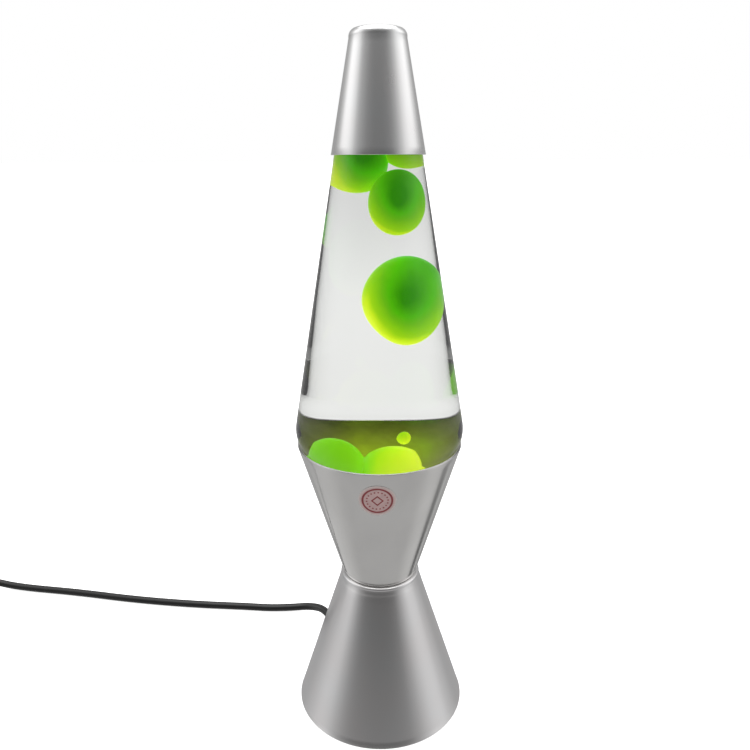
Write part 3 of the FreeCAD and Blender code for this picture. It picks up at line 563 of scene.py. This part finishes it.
def cord_points():
    near_face, far_face = SWITCH_ENDS
    coil_front = COIL_CENTRE[1] - COIL_OUTER
    return [
        from_axis(GROMMET_INNER_END - 4, CORD_HEIGHT),
        from_axis(GROMMET_TIP - 2, CORD_HEIGHT),
        (-43.0, 76.0, 9.1),
        (-55.0, 85.0, 5.5),
        (-70.0, 86.0, 3.6),
        (-88.0, 86.6, CORD_RADIUS),
        (-104.0, 88.5, CORD_RADIUS),
        (-150.0, 92.0, CORD_RADIUS),
        (-200.0, 99.0, CORD_RADIUS),
        (-250.0, 109.5, CORD_RADIUS),
        (-303.0, 117.5, CORD_RADIUS),
        (-328.0, SWITCH_Y, SWITCH_AXIS),
        (near_face - 6.0, SWITCH_Y, SWITCH_AXIS),
        (far_face + 6.0, SWITCH_Y, SWITCH_AXIS),
        (far_face - 7.0, SWITCH_Y, SWITCH_AXIS),
        (far_face - 22.0, SWITCH_Y + 0.3, 4.8),
        (COIL_CENTRE[0] + 8.0, COIL_CENTRE[1] + COIL_OUTER, CORD_RADIUS),
        *coil_points(),
        (COIL_CENTRE[0] + 3.0, coil_front, 3 * CORD_RADIUS),
        (COIL_CENTRE[0] + 24.0, coil_front, 8.0),
        (PLUG_X, 18.0, PLUG_HEIGHT),
        (PLUG_X, PLUG_SLEEVE_START, PLUG_HEIGHT),
    ]


def make_cord(material):
    cord = wire("mains_cord", "NURBS", cord_points(), CORD_RADIUS, 7)
    cord.data.resolution_u = 10
    cord.data.use_fill_caps = True
    spline = cord.data.splines[0]
    spline.order_u = 3
    spline.use_endpoint_u = True
    return dress(cord, material, "base", "cord_jacket",
                 "cord_run", "cord_tail", "cord_coil", "cord_end", "cord_inlet_length")


def strain_relief(material):
    """Ribbed tapered sleeve, turned about its own axis and laid along the cord's direction."""
    start = GROMMET_INNER_END
    neck = 3.95                   # the neck sits in the cone's hole, between the two flanges
    flange = 5.0
    bore = CORD_RADIUS + 0.02
    corners = [(bore, start, 0), (flange, start, 0.4), (flange, 45.9, 0.3), (neck, 46.1), (neck, 51.0),
               (flange, 51.2, 0.2), (flange, GROMMET_OUTSIDE, 0.5)]
    ribs = 6
    pitch = (GROMMET_TIP - 2.5 - GROMMET_OUTSIDE) / ribs
    for rib in range(ribs):
        far = GROMMET_OUTSIDE + 0.4 + rib * pitch
        radius = 4.35 - 0.85 * rib / ribs
        corners += [(radius, far, 0.15), (radius, far + pitch * 0.62, 0.2),
                    (radius - 0.55, far + pitch * 0.68, 0.1), (radius - 0.55, far + pitch * 0.96, 0.1)]
    corners += [(3.45, GROMMET_TIP - 2.0, 0.2), (3.35, GROMMET_TIP, 0.4), (bore, GROMMET_TIP)]
    bm = turned_mesh(rounded(corners, steps=3), 64)
    lay = Matrix.Translation((0, 0, CORD_HEIGHT * MM)) @ Matrix.Rotation(math.radians(CORD_ANGLE), 4, "Z")
    bm.transform(lay @ Matrix.Rotation(math.radians(90), 4, "Y"))
    piece = as_object("strain_relief", bm)
    return dress(piece, material, "base", "grommet_plastic", "cord_grommet")


# ------------ base
CONE_TOP = (24.3, 93.3)           # where the lower cone's rounded lip begins
CUP_FOOT = (22.95, 94.6)
CUP_RIM = (49.4, 181.1)
SHEET = 1.25


def cone_radius(height):
    """Outer radius of the lower cone at a height."""
    foot_radius = radius_of("lower_base_shell")
    foot = low_of("lower_base_shell")
    share = (height - foot) / (CONE_TOP[1] - foot)
    return foot_radius + share * (CONE_TOP[0] - foot_radius)


def cup_radius(height):
    """Outer radius of the upper cup at a height."""
    share = (height - CUP_FOOT[1]) / (CUP_RIM[1] - CUP_FOOT[1])
    return CUP_FOOT[0] + share * (CUP_RIM[0] - CUP_FOOT[0])


def lower_cone(material):
    """Cone with a rolled lip at its neck, an inner flange, and a skirt round the cover."""
    low = low_of("lower_base_shell") - 0.4
    top = high_of("lower_base_shell")
    edge = radius_of("lower_base_shell") + 0.7
    lip_flange = 22.4
    bottom_flange = 40.0
    flange_low = 2.7
    flange_high = 3.9
    skirt = 51.95
    outline = traced(
        (edge - 0.3, low),
        ((edge - 0.06, low + 0.1), (edge - 0.12, low + 0.45)),
        (cone_radius(88.6), 88.6),
        ((24.85, 90.6), (24.5, 91.8)),
        ((24.95, 93.1), (24.1, 94.1)),
        (23.6, top),
        (lip_flange, top),
        (lip_flange, top - 1.2),
        (cone_radius(top - 1.2) - SHEET, top - 1.2),
        (cone_radius(flange_high) - SHEET, flange_high),
        (bottom_flange, flange_high),
        (bottom_flange, flange_low),
        (skirt, flange_low),
        (skirt, low),
        closed=True,
    )
    piece = as_object("lower_cone", turned_mesh(outline))
    return dress(piece, material, "base", "spun_aluminium", "lower_base_shell")


def upper_cup(material, inner_material):
    """Cup with a rolled rim and a spigot below, of another look inside."""
    bore = 21.2
    outside = 22.2
    bottom = 86.5
    foot_radius, foot = CUP_FOOT
    rim_radius, rim = CUP_RIM
    top = rim + 0.62
    floor = 93.0                  # top of the sheet where the cup narrows into its spigot
    outline = rounded([
        (foot_radius + 0.25, foot, 0.7),
        (rim_radius, rim),
        (rim_radius + 0.05, top, 0.55),
        (rim_radius - SHEET, top, 0.55),
        (rim_radius - SHEET, rim - 0.4),
        (cup_radius(floor) - SHEET, floor, 0.6),
        (bore, 92.5),
        (bore, bottom),
        (outside, bottom),
        (outside, foot),
    ])
    piece = as_object("upper_cup", turned_mesh(outline))
    dress(piece, material, "base", "cup_aluminium", "upper_base_shell")
    return lined(piece, inner_material,
                 lambda radius, height, up: radius < cup_radius(height) - 0.8 * SHEET and height < rim)


LABEL_CENTRE = (-1.6, 163.5)      # x and height
LABEL_RADIUS = 10.6
LABEL_DOTS = 18.0                 # in its dotted circle


def label_look():
    """Thin film with a plain red ring, a dotted circle and a small diamond."""
    look = Look("label_film", coat_weight=0.3, coat_roughness=0.2)
    offset = look.vector("SUBTRACT", look.scaled(), (LABEL_CENTRE[0], 0, LABEL_CENTRE[1]))
    flat = look.vector("MULTIPLY", offset, (1, 0, 1))
    distance = look.vector("LENGTH", flat)
    x, _, z = look.parts(flat)

    def line(value, place, width, soft):
        """1 within width of where the value is at a place, and 0 beyond."""
        away = look.math("ABSOLUTE", look.math("SUBTRACT", value, place))
        return look.span(away, width / 2, width / 2 + soft, 1, 0)

    around = look.math("ARCTAN2", z, x)
    dots = look.span(look.math("SINE", look.math("MULTIPLY", around, LABEL_DOTS)), 0.1, 0.4, 0, 1)
    dotted = look.math("MULTIPLY", line(distance, 6.0, 0.75, 0.12), dots)
    diamond = line(look.math("ADD", look.math("ABSOLUTE", x), look.math("ABSOLUTE", z)), 3.1, 1.0, 0.15)
    ring = line(distance, 8.3, 1.0, 0.12)
    printed = look.math("MAXIMUM", look.math("MAXIMUM", ring, dotted), diamond)
    paper = look.ramp(look.noise(3.0), (0.3, (0.42, 0.27, 0.26)), (0.7, (0.50, 0.33, 0.32)))
    edge = look.span(distance, LABEL_RADIUS - 1.7, LABEL_RADIUS - 0.2, 0, 1)
    film = look.mix(edge, paper, (0.50, 0.44, 0.42))
    look.to("Base Color", look.mix(printed, film, (0.20, 0.016, 0.020)))
    look.to("Roughness", look.span(look.noise(1.2), 0.3, 0.7, 0.32, 0.46))
    look.bump(look.noise(2.4), 0.05)
    return look.material


def round_label(material):
    """Thin round film on the front of the cup, its face a little uneven."""
    rings = 14
    segments = 96
    angles = [math.tau * step / segments for step in range(segments)]
    bm = bmesh.new()

    def film_point(x, z, lift):
        wave = 0.03 * math.sin(x * 0.9 + z * 0.4) + 0.02 * math.sin(z * 1.3 - x * 0.5)
        radius = cup_radius(z) + 0.1 + lift + wave * (lift > 0)
        return bm.verts.new((x * MM, -math.sqrt(radius ** 2 - x ** 2) * MM, z * MM))

    edges = []
    for lift in (0.12, 0.0):
        grid = [[film_point(*LABEL_CENTRE, lift)]]
        for ring in range(1, rings + 1):
            reach = LABEL_RADIUS * ring / rings
            grid.append([film_point(LABEL_CENTRE[0] + reach * math.cos(angle),
                                    LABEL_CENTRE[1] + reach * math.sin(angle), lift) for angle in angles])
        for one, other in zip(grid, grid[1:]):
            band(bm, one, other)
        edges.append(grid[-1])
    band(bm, *edges)
    bmesh.ops.recalc_face_normals(bm, faces=bm.faces)
    piece = as_object("label_disc", bm)
    return dress(piece, material, "base", "label_film", "round_label")


# ------------ bottle and what it holds
WALL_OUTLINE = [                  # inside of the glass from the foot to the neck, with fillets
    (27.2, 127.5, 2.4),
    (48.2, 189.5, 20.0),
    (19.1, 360.9, 7.0),
    (9.2, 371.8, 3.5),
    (9.0, 388.0),
]
LIQUID_LEVEL = 358.0
WAX_GAP = 0.25                    # between the wax and the glass


def inner_floor(gap):
    """Corners of the bottle's inner floor from the middle out, that far inside the glass."""
    foot_radius, foot, fillet = WALL_OUTLINE[0]
    return [(0, 131.0 + gap), (12.0, 130.2 + gap, 20.0), (21.5, foot + gap, 3.0),
            (foot_radius - gap, foot + gap, fillet)]


def wall_radius(height):
    """Inner radius of the bottle at a height."""
    for (r0, z0, *_), (r1, z1, *_) in zip(WALL_OUTLINE, WALL_OUTLINE[1:]):
        if z0 <= height <= z1:
            return r0 + (r1 - r0) * (height - z0) / (z1 - z0)
    return WALL_OUTLINE[0][0] if height < WALL_OUTLINE[0][1] else WALL_OUTLINE[-1][0]


def bottle(outer_glass, wet_glass):
    """Glass bottle. The wall that the liquid touches has a look of its own."""
    foot = low_of("glass_bottle")
    mouth = high_of("glass_bottle")
    outside = [
        (0, foot + 3.5),
        (12.0, foot + 2.9, 20.0),
        (21.5, foot, 2.0),
        (27.0, foot, 2.0),
        (29.6, foot + 1.4, 2.0),
        (50.75, 189.4, 22.0),
        (21.56, 361.3, 8.0),
        (13.4, 372.6, 4.0),
        (12.6, 377.0, 2.0),
        (12.6, 381.0, 0.5),
        (13.3, 382.0, 0.6),
        (13.3, mouth, 1.1),
        (9.0, mouth, 1.0),
    ]
    inside = WALL_OUTLINE[-2:0:-1] + inner_floor(0)[::-1]
    outline = rounded(outside + inside, closed=False, steps=10)
    piece = as_object("bottle", turned_mesh(outline, closed=False), sharp=60)
    dress(piece, outer_glass, "globe", "bottle_glass", "glass_bottle")
    return lined(piece, wet_glass,
                 lambda radius, height, up: radius < wall_radius(height) + 0.6 and height < LIQUID_LEVEL)


def liquid_body(side_material, top_material):
    """The liquid, a hair inside the glass, with a curved edge to its level top."""
    gap = 0.15
    bulge_radius, bulge, fillet = WALL_OUTLINE[1]
    top_radius = wall_radius(LIQUID_LEVEL) - gap
    corners = inner_floor(gap) + [
        (bulge_radius - gap, bulge, fillet), (top_radius, LIQUID_LEVEL + 0.8),
        (top_radius - 1.4, LIQUID_LEVEL, 1.2), (0, LIQUID_LEVEL)]
    outline = rounded(corners, closed=False, steps=10)
    piece = as_object("liquid_body", turned_mesh(outline, closed=False), sharp=60)
    dress(piece, side_material, "globe", "clear_liquid", "liquid")
    return lined(piece, top_material, lambda radius, height, up: height > LIQUID_LEVEL - 0.5 and up > 0.3)


def blob_mesh(centre, size, bottom=1.0, bulges=(), detail=6):
    """Egg of wax, its lower half stretched by bottom. A bulge is (direction, amount, sharpness)."""
    bm = bmesh.new()
    bmesh.ops.create_icosphere(bm, subdivisions=detail, radius=1.0)
    for vert in bm.verts:
        way = vert.co.normalized()
        stretch = 1.0
        for direction, amount, sharpness in bulges:
            stretch += amount * math.exp(sharpness * (way.dot(Vector(direction).normalized()) - 1))
        half = size[2] * (1.0 if way.z > 0 else bottom)
        place = Vector((way.x * size[0], way.y * size[1], way.z * half)) * stretch + Vector(centre)
        limit = wall_radius(place.z) - WAX_GAP
        reach = math.hypot(place.x, place.y)
        if reach > limit:
            place.x *= limit / reach
            place.y *= limit / reach
        vert.co = place * MM
    return bm


def joined(*meshes):
    """One bmesh with all the bodies of several."""
    whole = bmesh.new()
    for bm in meshes:
        mesh = bpy.data.meshes.new("part")
        bm.to_mesh(mesh)
        bm.free()
        whole.from_mesh(mesh)
        bpy.data.meshes.remove(mesh)
    return whole


def melt(obj):
    """Runs the bodies of a mesh together, as wax does, and smooths the joints."""
    remesh = obj.modifiers.new("remesh", "REMESH")
    remesh.mode = "VOXEL"
    remesh.voxel_size = 0.9 * MM
    remesh.use_smooth_shade = True
    smooth = obj.modifiers.new("smooth", "SMOOTH")
    smooth.factor = 0.5
    smooth.iterations = 8
    graph = bpy.context.evaluated_depsgraph_get()
    mesh = bpy.data.meshes.new_from_object(obj.evaluated_get(graph))
    obj.modifiers.clear()
    old = obj.data
    obj.data = mesh
    bpy.data.meshes.remove(old)
    obj.data.shade_smooth()


def pool_body():
    """The settled wax between the mounds, which creeps up the glass a little."""
    level = 150.0
    edge = level + 1.5
    corners = inner_floor(WAX_GAP) + [
        (wall_radius(edge) - WAX_GAP, edge, 0.6),
        (wall_radius(level) - WAX_GAP - 4, level, 5.0),
        (0, level - 0.5),
    ]
    return turned_mesh(rounded(corners, closed=False), 128, closed=False)


def wax_pool(material):
    mounds = [
        blob_mesh((-20.5, 0.0, 163.0), (15.8, 15.8, 22.0), detail=5),
        blob_mesh((6.0, -1.0, 161.5), (17.4, 17.4, 19.2), detail=5),
    ]
    piece = as_object("wax_mounds", joined(pool_body(), *mounds))
    melt(piece)
    return dress(piece, material, "globe", "green_wax", "wax_pool")


def loose_wax(name, bm, material, body, node):
    dress(as_object(name, bm, sharp=180), material, body, "green_wax", node)


def make_wax():
    """The settled wax, the blobs, the drop and the wax held under the cap."""
    # Each look's stops paint shade at the low end of its level and light at the high end, and its glow is
    # painted as emission.
    wax_pool(wax(
        "wax_pool_look", one_way((-7, 0, 165), (0.9, -0.2, -0.4), 24), 0.65,
        (0.10, (0.20, 0.64, 0.004)), (0.44, (0.22, 0.62, 0.004)), (0.54, (0.44, 0.80, 0.006)),
        (0.85, GOLD)))
    loose_wax(
        "large_wax_blob",
        blob_mesh((11.4, 0.0, 267.5), (18.0, 18.6, 25.0), bottom=1.02,
                  bulges=[((-0.95, 0, 0.0), 0.05, 6), ((-0.6, 0, -0.75), -0.05, 5)]),
        wax("large_blob_look", outward((12.5, 270), (18, 26), (-0.30, -0.50)), 0.85,
            (0.06, DARK), (0.32, GREEN), (0.48, FRESH), (0.78, LIME), (0.90, LEMON), (1.0, GOLD)),
        "large_blob", "large_blob")
    loose_wax(
        "small_wax_blob",
        blob_mesh((8.5, -6.0, 322.0), (13.0, 13.0, 17.2), bulges=[((-0.7, 0, -0.7), 0.03, 4)]),
        wax("small_blob_look", outward((9, 324), (13, 18), (-0.15, -0.55)), 0.75,
            (0.12, DARK), (0.38, GREEN), (0.58, FRESH), (0.93, LIME), (1.0, LEMON)),
        "small_blob", "small_blob")
    loose_wax(
        "top_wax_left",
        blob_mesh((-9.5, 8.0, 344.0), (13.0, 13.0, 17.8), bulges=[((0.7, -0.2, -0.7), 0.10, 6)]),
        wax("top_left_look", outward((-7, 348), (14, 21), (-0.30, -0.20)), 0.65,
            (0.16, DARK), (0.40, GREEN), (0.54, FRESH), (0.76, LIME), (0.88, LEMON), (1.0, GOLD)),
        "globe", "wax_top_left")
    loose_wax(
        "top_wax_right",
        blob_mesh((11.0, 8.0, 350.5), (10.5, 9.0, 12.0), detail=5),
        wax("top_right_look", one_way((12, 8, 348), (0.2, 0.3, -0.8), 10), 0.45,
            (0.2, FRESH), (0.6, LIME), (1.0, LEMON)),
        "globe", "wax_top_right")
    loose_wax(
        "wax_drop",
        blob_mesh((11.0, -3.0, 187.0), (3.1, 3.1, 3.8), bulges=[((-1, 0, -0.1), 0.12, 14)], detail=5),
        wax("drop_look", one_way((11, -3, 187), (0.3, 0, -0.9), 4), 0.75,
            (0.0, LIME), (0.5, LEMON), (1.0, GOLD)),
        "droplet", "wax_droplet")


def spring_coil(material):
    """The coil of wire in the wax: a helix wound round a ring."""
    low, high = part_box("heating_coil")
    thick = (high.z - low.z) / MM / 2
    thread = 0.45
    wound_radius = thick - thread
    turns = 46
    count = turns * 14
    places = []
    for index in range(count):
        around = math.tau * index / count
        wound = around * turns
        radius = high.x / MM - thick + wound_radius * math.cos(wound)
        height = (low.z + high.z) / 2 / MM + wound_radius * math.sin(wound)
        places.append((radius * math.cos(around), radius * math.sin(around), height))
    piece = wire("coil_in_wax", "POLY", places, thread, 2)
    piece.data.splines[0].use_cyclic_u = True
    return dress(piece, material, "globe", "coil_steel", "heating_coil")


def crown(material):
    """Crown cap with its pressed flutes."""
    top = high_of("crown_cap")
    bottom = low_of("crown_cap")
    flutes = 21
    sheet = 0.28
    corners = [
        (0, top), (12.0, top), (13.4, top - 0.2, 1.2), (13.9, top - 1.8, 1.0), (14.4, bottom),
        (14.4 - sheet, bottom), (13.9 - sheet, top - 1.9, 1.0), (13.2, top - 0.5, 1.0), (0, top - sheet),
    ]

    def fluted(r, z, angle):
        share = min(1.0, max(0.0, (top - 1.6 - z) / 2.5))
        return r - 0.45 * share * (0.5 - 0.5 * math.cos(flutes * angle)) ** 1.5

    outline = evenly(rounded(corners, closed=False), False, 0.6)
    piece = as_object("crown", turned_mesh(outline, flutes * 16, closed=False, wobble=fluted))
    return dress(piece, material, "globe", "crown_tinplate", "crown_cap")


def cap_shell(material):
    bottom = low_of("top_cap")
    top = high_of("top_cap")
    radius = radius_of("top_cap")
    wall = 1.1
    outline = traced(
        (0, top),
        ((6.0, top - 0.13), (11.6, top - 0.5)),
        ((14.2, 408.2), (15.2, 404.9)),
        (radius, bottom + 0.3),
        ((radius - 0.1, bottom + 0.08), (radius - 0.3, bottom)),
        (radius - wall, bottom),
        (15.2 - wall, 404.7),
        ((13.2, 407.5), (11.2, top - 0.6 - wall)),
        ((5.8, top - 0.15 - wall), (0, top - wall)),
    )
    piece = as_object("cap_shell", turned_mesh(outline, closed=False))
    return dress(piece, material, "cap", "cap_aluminium", "top_cap")


# ------------ plug
def plug_shell(material):
    """Flat plug body: rounded sections that widen from the cord to the face, with grip ribs."""
    start = PLUG_SLEEVE_START
    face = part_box("plug_body")[0].y / MM
    sections = [                  # y, half width, half height, how square
        (start, 3.5, 3.5, 2.0),
        (start - 5.0, 3.9, 3.9, 2.0),
        (start - 12.5, 4.5, 4.5, 2.0),
        (start - 14.0, 5.6, 5.0, 2.3),
        (start - 20.0, 7.4, 5.4, 2.6),
        (start - 26.0, 9.6, 5.9, 2.8),
        (start - 33.0, 13.6, 6.4, 3.0),
        (start - 39.5, 16.6, 6.75, 3.4),
        (start - 46.0, 17.5, 6.85, 3.8),
        (face + 1.0, 17.6, 6.85, 3.8),
        (face + 0.25, 17.3, 6.55, 3.8),
        (face, 16.7, 5.95, 3.8),
    ]
    grip_middle = start - 33.0
    grip_half = 9.5
    grip_pitch = 3.0
    segments = 96
    fine = []
    for one, other in zip(sections, sections[1:]):
        parts = max(1, round((one[0] - other[0]) / 0.5))
        for part in range(parts):
            share = part / parts
            fine.append([a + (b - a) * share for a, b in zip(one, other)])
    fine.append(list(sections[-1]))
    bm = bmesh.new()
    rings = []
    for y, half_width, half_height, square in fine:
        along = y - grip_middle
        grip = 0.0
        if abs(along) < grip_half:
            grip = 0.15 * (1 - math.cos(math.tau * (along + grip_half) / grip_pitch))
        ring = []
        for step in range(segments):
            angle = math.tau * step / segments
            c, s = math.cos(angle), math.sin(angle)
            across = math.copysign(abs(c) ** (2 / square), c) * (half_width - grip)
            up = math.copysign(abs(s) ** (2 / square), s) * (half_height - grip)
            ring.append(bm.verts.new(((PLUG_X + across) * MM, y * MM, (PLUG_HEIGHT + up) * MM)))
        rings.append(ring)
    for one, other in zip(rings, rings[1:]):
        band(bm, one, other)
    bm.faces.new(rings[0])
    bm.faces.new(rings[-1])
    bmesh.ops.recalc_face_normals(bm, faces=bm.faces)
    piece = as_object("plug_shell", bm, sharp=50)
    return dress(piece, material, "base", "plug_plastic", "plug_body")


# ------------ looks of the CAD nodes that stay
def reflector_glass():
    """Silvered bulb whose front is frosted and glows."""
    look = Look("reflector_bulb", roughness=0.35, emission_strength=2.5)
    level = look.along((0, 0, 1), 96, 106)
    look.to("Base Color", look.ramp(level, (0.0, (0.7, 0.7, 0.72)), (1.0, (0.95, 0.90, 0.80))))
    look.to("Metallic", look.span(level, 0.3, 0.8, 1, 0))
    look.to("Emission Color", look.ramp(level, (0.5, grey(0)), (1.0, (1.0, 0.72, 0.38))))
    return look.material


def paint_nodes():
    """Gives each of those nodes its material."""
    zinc = worn_metal("zinc_plate", (0.66, 0.67, 0.69), 0.3)
    brass = worn_metal("brass", (0.78, 0.57, 0.25), 0.28)
    switch = plastic("switch_plastic", grey(0.012), 0.30, 0.4, 0.015, coat=0.2)
    looks = {
        "globe_seat_ring": plastic("silicone", (0.52, 0.50, 0.46), 0.55),
        "bottom_cover": plastic("cover_plastic", grey(0.018), 0.5, 0.5, 0.05),
        "rubber_feet": plastic("foot_rubber", grey(0.02), 0.75, 0.4, 0.05),
        "lamp_holder_body": plastic("holder_thermoset", (0.66, 0.63, 0.56), 0.4),
        "live_wire": plastic("brown_insulation", (0.13, 0.045, 0.015), 0.35),
        "neutral_wire": plastic("blue_insulation", (0.02, 0.07, 0.30), 0.35),
        "switch_housing_lower": switch,
        "switch_housing_upper": switch,
        "switch_rocker": plastic("rocker_plastic", grey(0.018), 0.22, 0.4, 0.01, coat=0.3),
        "plug_pins": worn_metal("nickel", (0.74, 0.72, 0.68), 0.16, 0.3, 0.004),
        "plug_pin_sleeves": plastic("pin_sleeve", grey(0.012), 0.4),
        "crown_liner": plastic("liner", (0.70, 0.70, 0.66), 0.5),
        "bulb_envelope": reflector_glass(),
        "bulb_screw_shell": worn_metal("bulb_cap_metal", (0.72, 0.68, 0.56), 0.25),
        "bulb_insulator": plastic("black_glass", grey(0.01), 0.12, coat=0.5),
        "bulb_contact": worn_metal("solder", (0.60, 0.60, 0.62), 0.35),
        "bulb_stem": plastic("stem_glass", (0.75, 0.78, 0.76), 0.1, coat=0.6),
        "bulb_filament": worn_metal("tungsten", (0.35, 0.35, 0.38), 0.35),
    }
    for node in ("waist_lock_ring", "cover_screws", "socket_bracket", "threaded_stem", "stem_nuts",
                 "switch_screws"):
        looks[node] = zinc
    for node in ("lamp_holder_shell", "lamp_holder_contact", "lamp_holder_terminals", "switch_contacts"):
        looks[node] = brass
    for node, material in looks.items():
        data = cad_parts[node].data
        data.materials.clear()
        data.materials.append(material)


# ------------ stage and light
def floor_look():
    """Pale floor that looks as white as the wall behind, but for a faint shade by the lamp."""
    look = Look("pale_floor", specular_ior_level=0.0, emission_color=grey(1.0))
    look.to("Base Color", look.ramp(look.noise(160), (0.3, grey(0.90)), (0.7, grey(0.93))))
    look.to("Roughness", look.span(look.noise(12), 0.3, 0.7, 0.8, 0.9))
    camera_ray = look.nodes.new("ShaderNodeLightPath").outputs["Is Camera Ray"]
    look.to("Emission Strength", look.span(camera_ray, 0, 1, 0.0, 0.85))
    return look.material


def make_floor():
    """The floor. Reflections and refractions see the studio instead of it."""
    bm = bmesh.new()
    bmesh.ops.create_circle(bm, cap_ends=True, radius=60.0, segments=96)
    floor = as_object("floor", bm)
    floor.location.z = -0.05 * MM
    floor.data.materials.append(floor_look())
    floor.visible_glossy = False
    floor.visible_transmission = False


def make_light():
    """One large soft light overhead, aimed at the lamp's foot, that the camera doesn't see."""
    side = 1400
    data = bpy.data.lights.new("top_box", "AREA")
    data.shape = "RECTANGLE"
    data.size = side * MM
    data.size_y = side * MM
    data.energy = 8
    light = bpy.data.objects.new("top_box", data)
    light.location = Vector((0, 100, 1500)) * MM
    light.rotation_euler = light.location.to_track_quat("Z", "Y").to_euler()
    light.visible_camera = False
    scene.collection.objects.link(light)


class Studio(NodeKit):
    """The walls of light round the lamp, as brightness by compass angle and by height."""

    def __init__(self):
        scene.world = bpy.data.worlds.new("studio")
        super().__init__(scene.world)
        self.nodes.clear()
        x, y, z = self.parts(self.nodes.new("ShaderNodeTexCoord").outputs["Generated"])
        angle = self.math("ARCTAN2", x, self.math("MULTIPLY", y, -1.0))
        self.compass = self.math("ADD", self.math("DIVIDE", angle, math.tau), 0.5)
        self.height = self.math("ADD", self.math("MULTIPLY", z, 0.5), 0.5)

    def curve(self, value, stops):
        """Smooth brightness from (place, brightness) stops."""
        return self.ramp(value, *((place, grey(level)) for place, level in stops), interpolation="EASE")

    def around(self, *stops):
        """Brightness by compass angle: 0 is the front, 90 the right and -90 the left."""
        return self.curve(self.compass, [((angle + 180) / 360, level) for angle, level in stops])

    def upward(self, *stops):
        """Brightness by degrees above the horizon."""
        places = [(0.5 + 0.5 * math.sin(math.radians(angle)), level) for angle, level in stops]
        return self.curve(self.height, places)

    def finish(self, reflected, refracted):
        """White for the camera, and the two given patterns for the rays that meet them."""
        path = self.nodes.new("ShaderNodeLightPath").outputs
        pattern = self.mix(path["Is Transmission Ray"], reflected, refracted)
        background = self.nodes.new("ShaderNodeBackground")
        self.feed(background.inputs["Color"], self.mix(path["Is Camera Ray"], pattern, grey(1.0)))
        output = self.nodes.new("ShaderNodeOutputWorld")
        self.feed(output.inputs["Surface"], background.outputs["Background"])


def make_world():
    """Bright walls left and right, a dark one in front, a grey one behind, and a table below."""
    studio = Studio()
    upper = studio.around(
        (-180, 0.52), (-140, 0.46), (-122, 0.74), (-106, 1.42), (-90, 1.28), (-73, 0.90), (-60, 0.46),
        (-46, 0.34), (-30, 0.22), (-12, 0.17), (12, 0.17), (30, 0.21), (46, 0.34), (60, 0.56),
        (74, 0.90), (90, 1.20), (106, 1.40), (124, 0.90), (142, 0.46), (180, 0.52))
    lower = studio.around(
        (-180, 0.40), (-128, 0.36), (-106, 0.42), (-89, 0.68), (-74, 0.80), (-62, 0.50), (-50, 0.23),
        (-38, 0.10), (-20, 0.08), (20, 0.08), (36, 0.13), (48, 0.38), (60, 0.64), (74, 0.88),
        (89, 0.70), (106, 0.42), (128, 0.36), (180, 0.40))
    lowest = studio.around(
        (-180, 0.46), (-128, 0.44), (-106, 0.58), (-89, 0.74), (-74, 0.66), (-62, 0.48), (-50, 0.36),
        (-38, 0.32), (0, 0.30), (38, 0.32), (50, 0.40), (62, 0.58), (74, 0.74), (89, 0.80),
        (106, 0.58), (128, 0.42), (180, 0.46))
    table = studio.around(
        (-180, 0.75), (-158, 0.72), (-154, 0.16), (-147, 0.16), (-143, 0.70), (-132, 0.66),
        (-112, 0.60), (-70, 0.50), (70, 0.50), (108, 0.62), (120, 0.62), (124, 0.08), (134, 0.08),
        (138, 0.70), (144, 0.60), (148, 0.14), (154, 0.14), (160, 0.70), (180, 0.75))
    overhead = studio.around((-180, 1.3), (180, 1.3))
    walls = studio.mix(studio.upward((7, 0.0), (15, 1.0)), lower, upper)
    walls = studio.mix(studio.upward((-9, 1.0), (-2, 0.0)), walls, lowest)
    walls = studio.mix(studio.upward((42, 0.0), (62, 1.0)), walls, overhead)
    reflected = studio.mix(studio.upward((-50, 1.0), (-28, 0.0)), walls, table)
    backdrop = studio.around(
        (-180, 1.0), (-136, 1.0), (-128, 0.85), (-112, 0.60), (-98, 0.50), (-85, 0.35), (-60, 0.25),
        (-30, 0.13), (30, 0.13), (60, 0.25), (85, 0.35), (98, 0.50), (112, 0.60), (128, 0.85),
        (136, 1.0), (180, 1.0))
    depth = studio.upward((-60, 0.80), (-20, 0.87), (-9, 0.70), (-3, 0.67), (30, 0.76), (90, 0.95))
    studio.finish(reflected, studio.mix(1.0, backdrop, depth, "MULTIPLY"))


# ------------ everything put together
make_camera()

cord = make_cord(plastic("black_jacket", grey(0.012), 0.34, 0.9, 0.01, coat=0.15))
relief = strain_relief(plastic("relief_plastic", grey(0.010), 0.42))
plug = plug_shell(plastic("plug_plastic", grey(0.014), 0.45, 0.3, 0.03))

lower_cone(spun_metal("spun_aluminium", (0.76, 0.75, 0.75), 0.28, 0.5, 0.0006))
# The olive tone and the emission colour of the cup's inside are painted green light from the wax.
upper_cup(smooth_metal("cup_aluminium", (0.72, 0.71, 0.695), 0.15),
          glow_painted_metal("cup_inside", (0.46, 0.50, 0.14), (0.26, 0.30, 0.02)))
cap_shell(spun_metal("cap_aluminium", (0.83, 0.83, 0.83), 0.27, 0.5, 0.0004))
round_label(label_look())

bottle(clear_glass("bottle_glass", GLASS_IOR), clear_glass("wet_glass", GLASS_IOR / LIQUID_IOR))
liquid_body(clear_liquid("liquid_side", LIQUID_SIDE_IOR), clear_liquid("liquid_top", LIQUID_IOR))
make_wax()
spring_coil(worn_metal("coil_wire", (0.55, 0.55, 0.56), 0.3))
crown(worn_metal("tinplate", (0.72, 0.72, 0.73), 0.25))
paint_nodes()

make_floor()
make_world()
make_light()
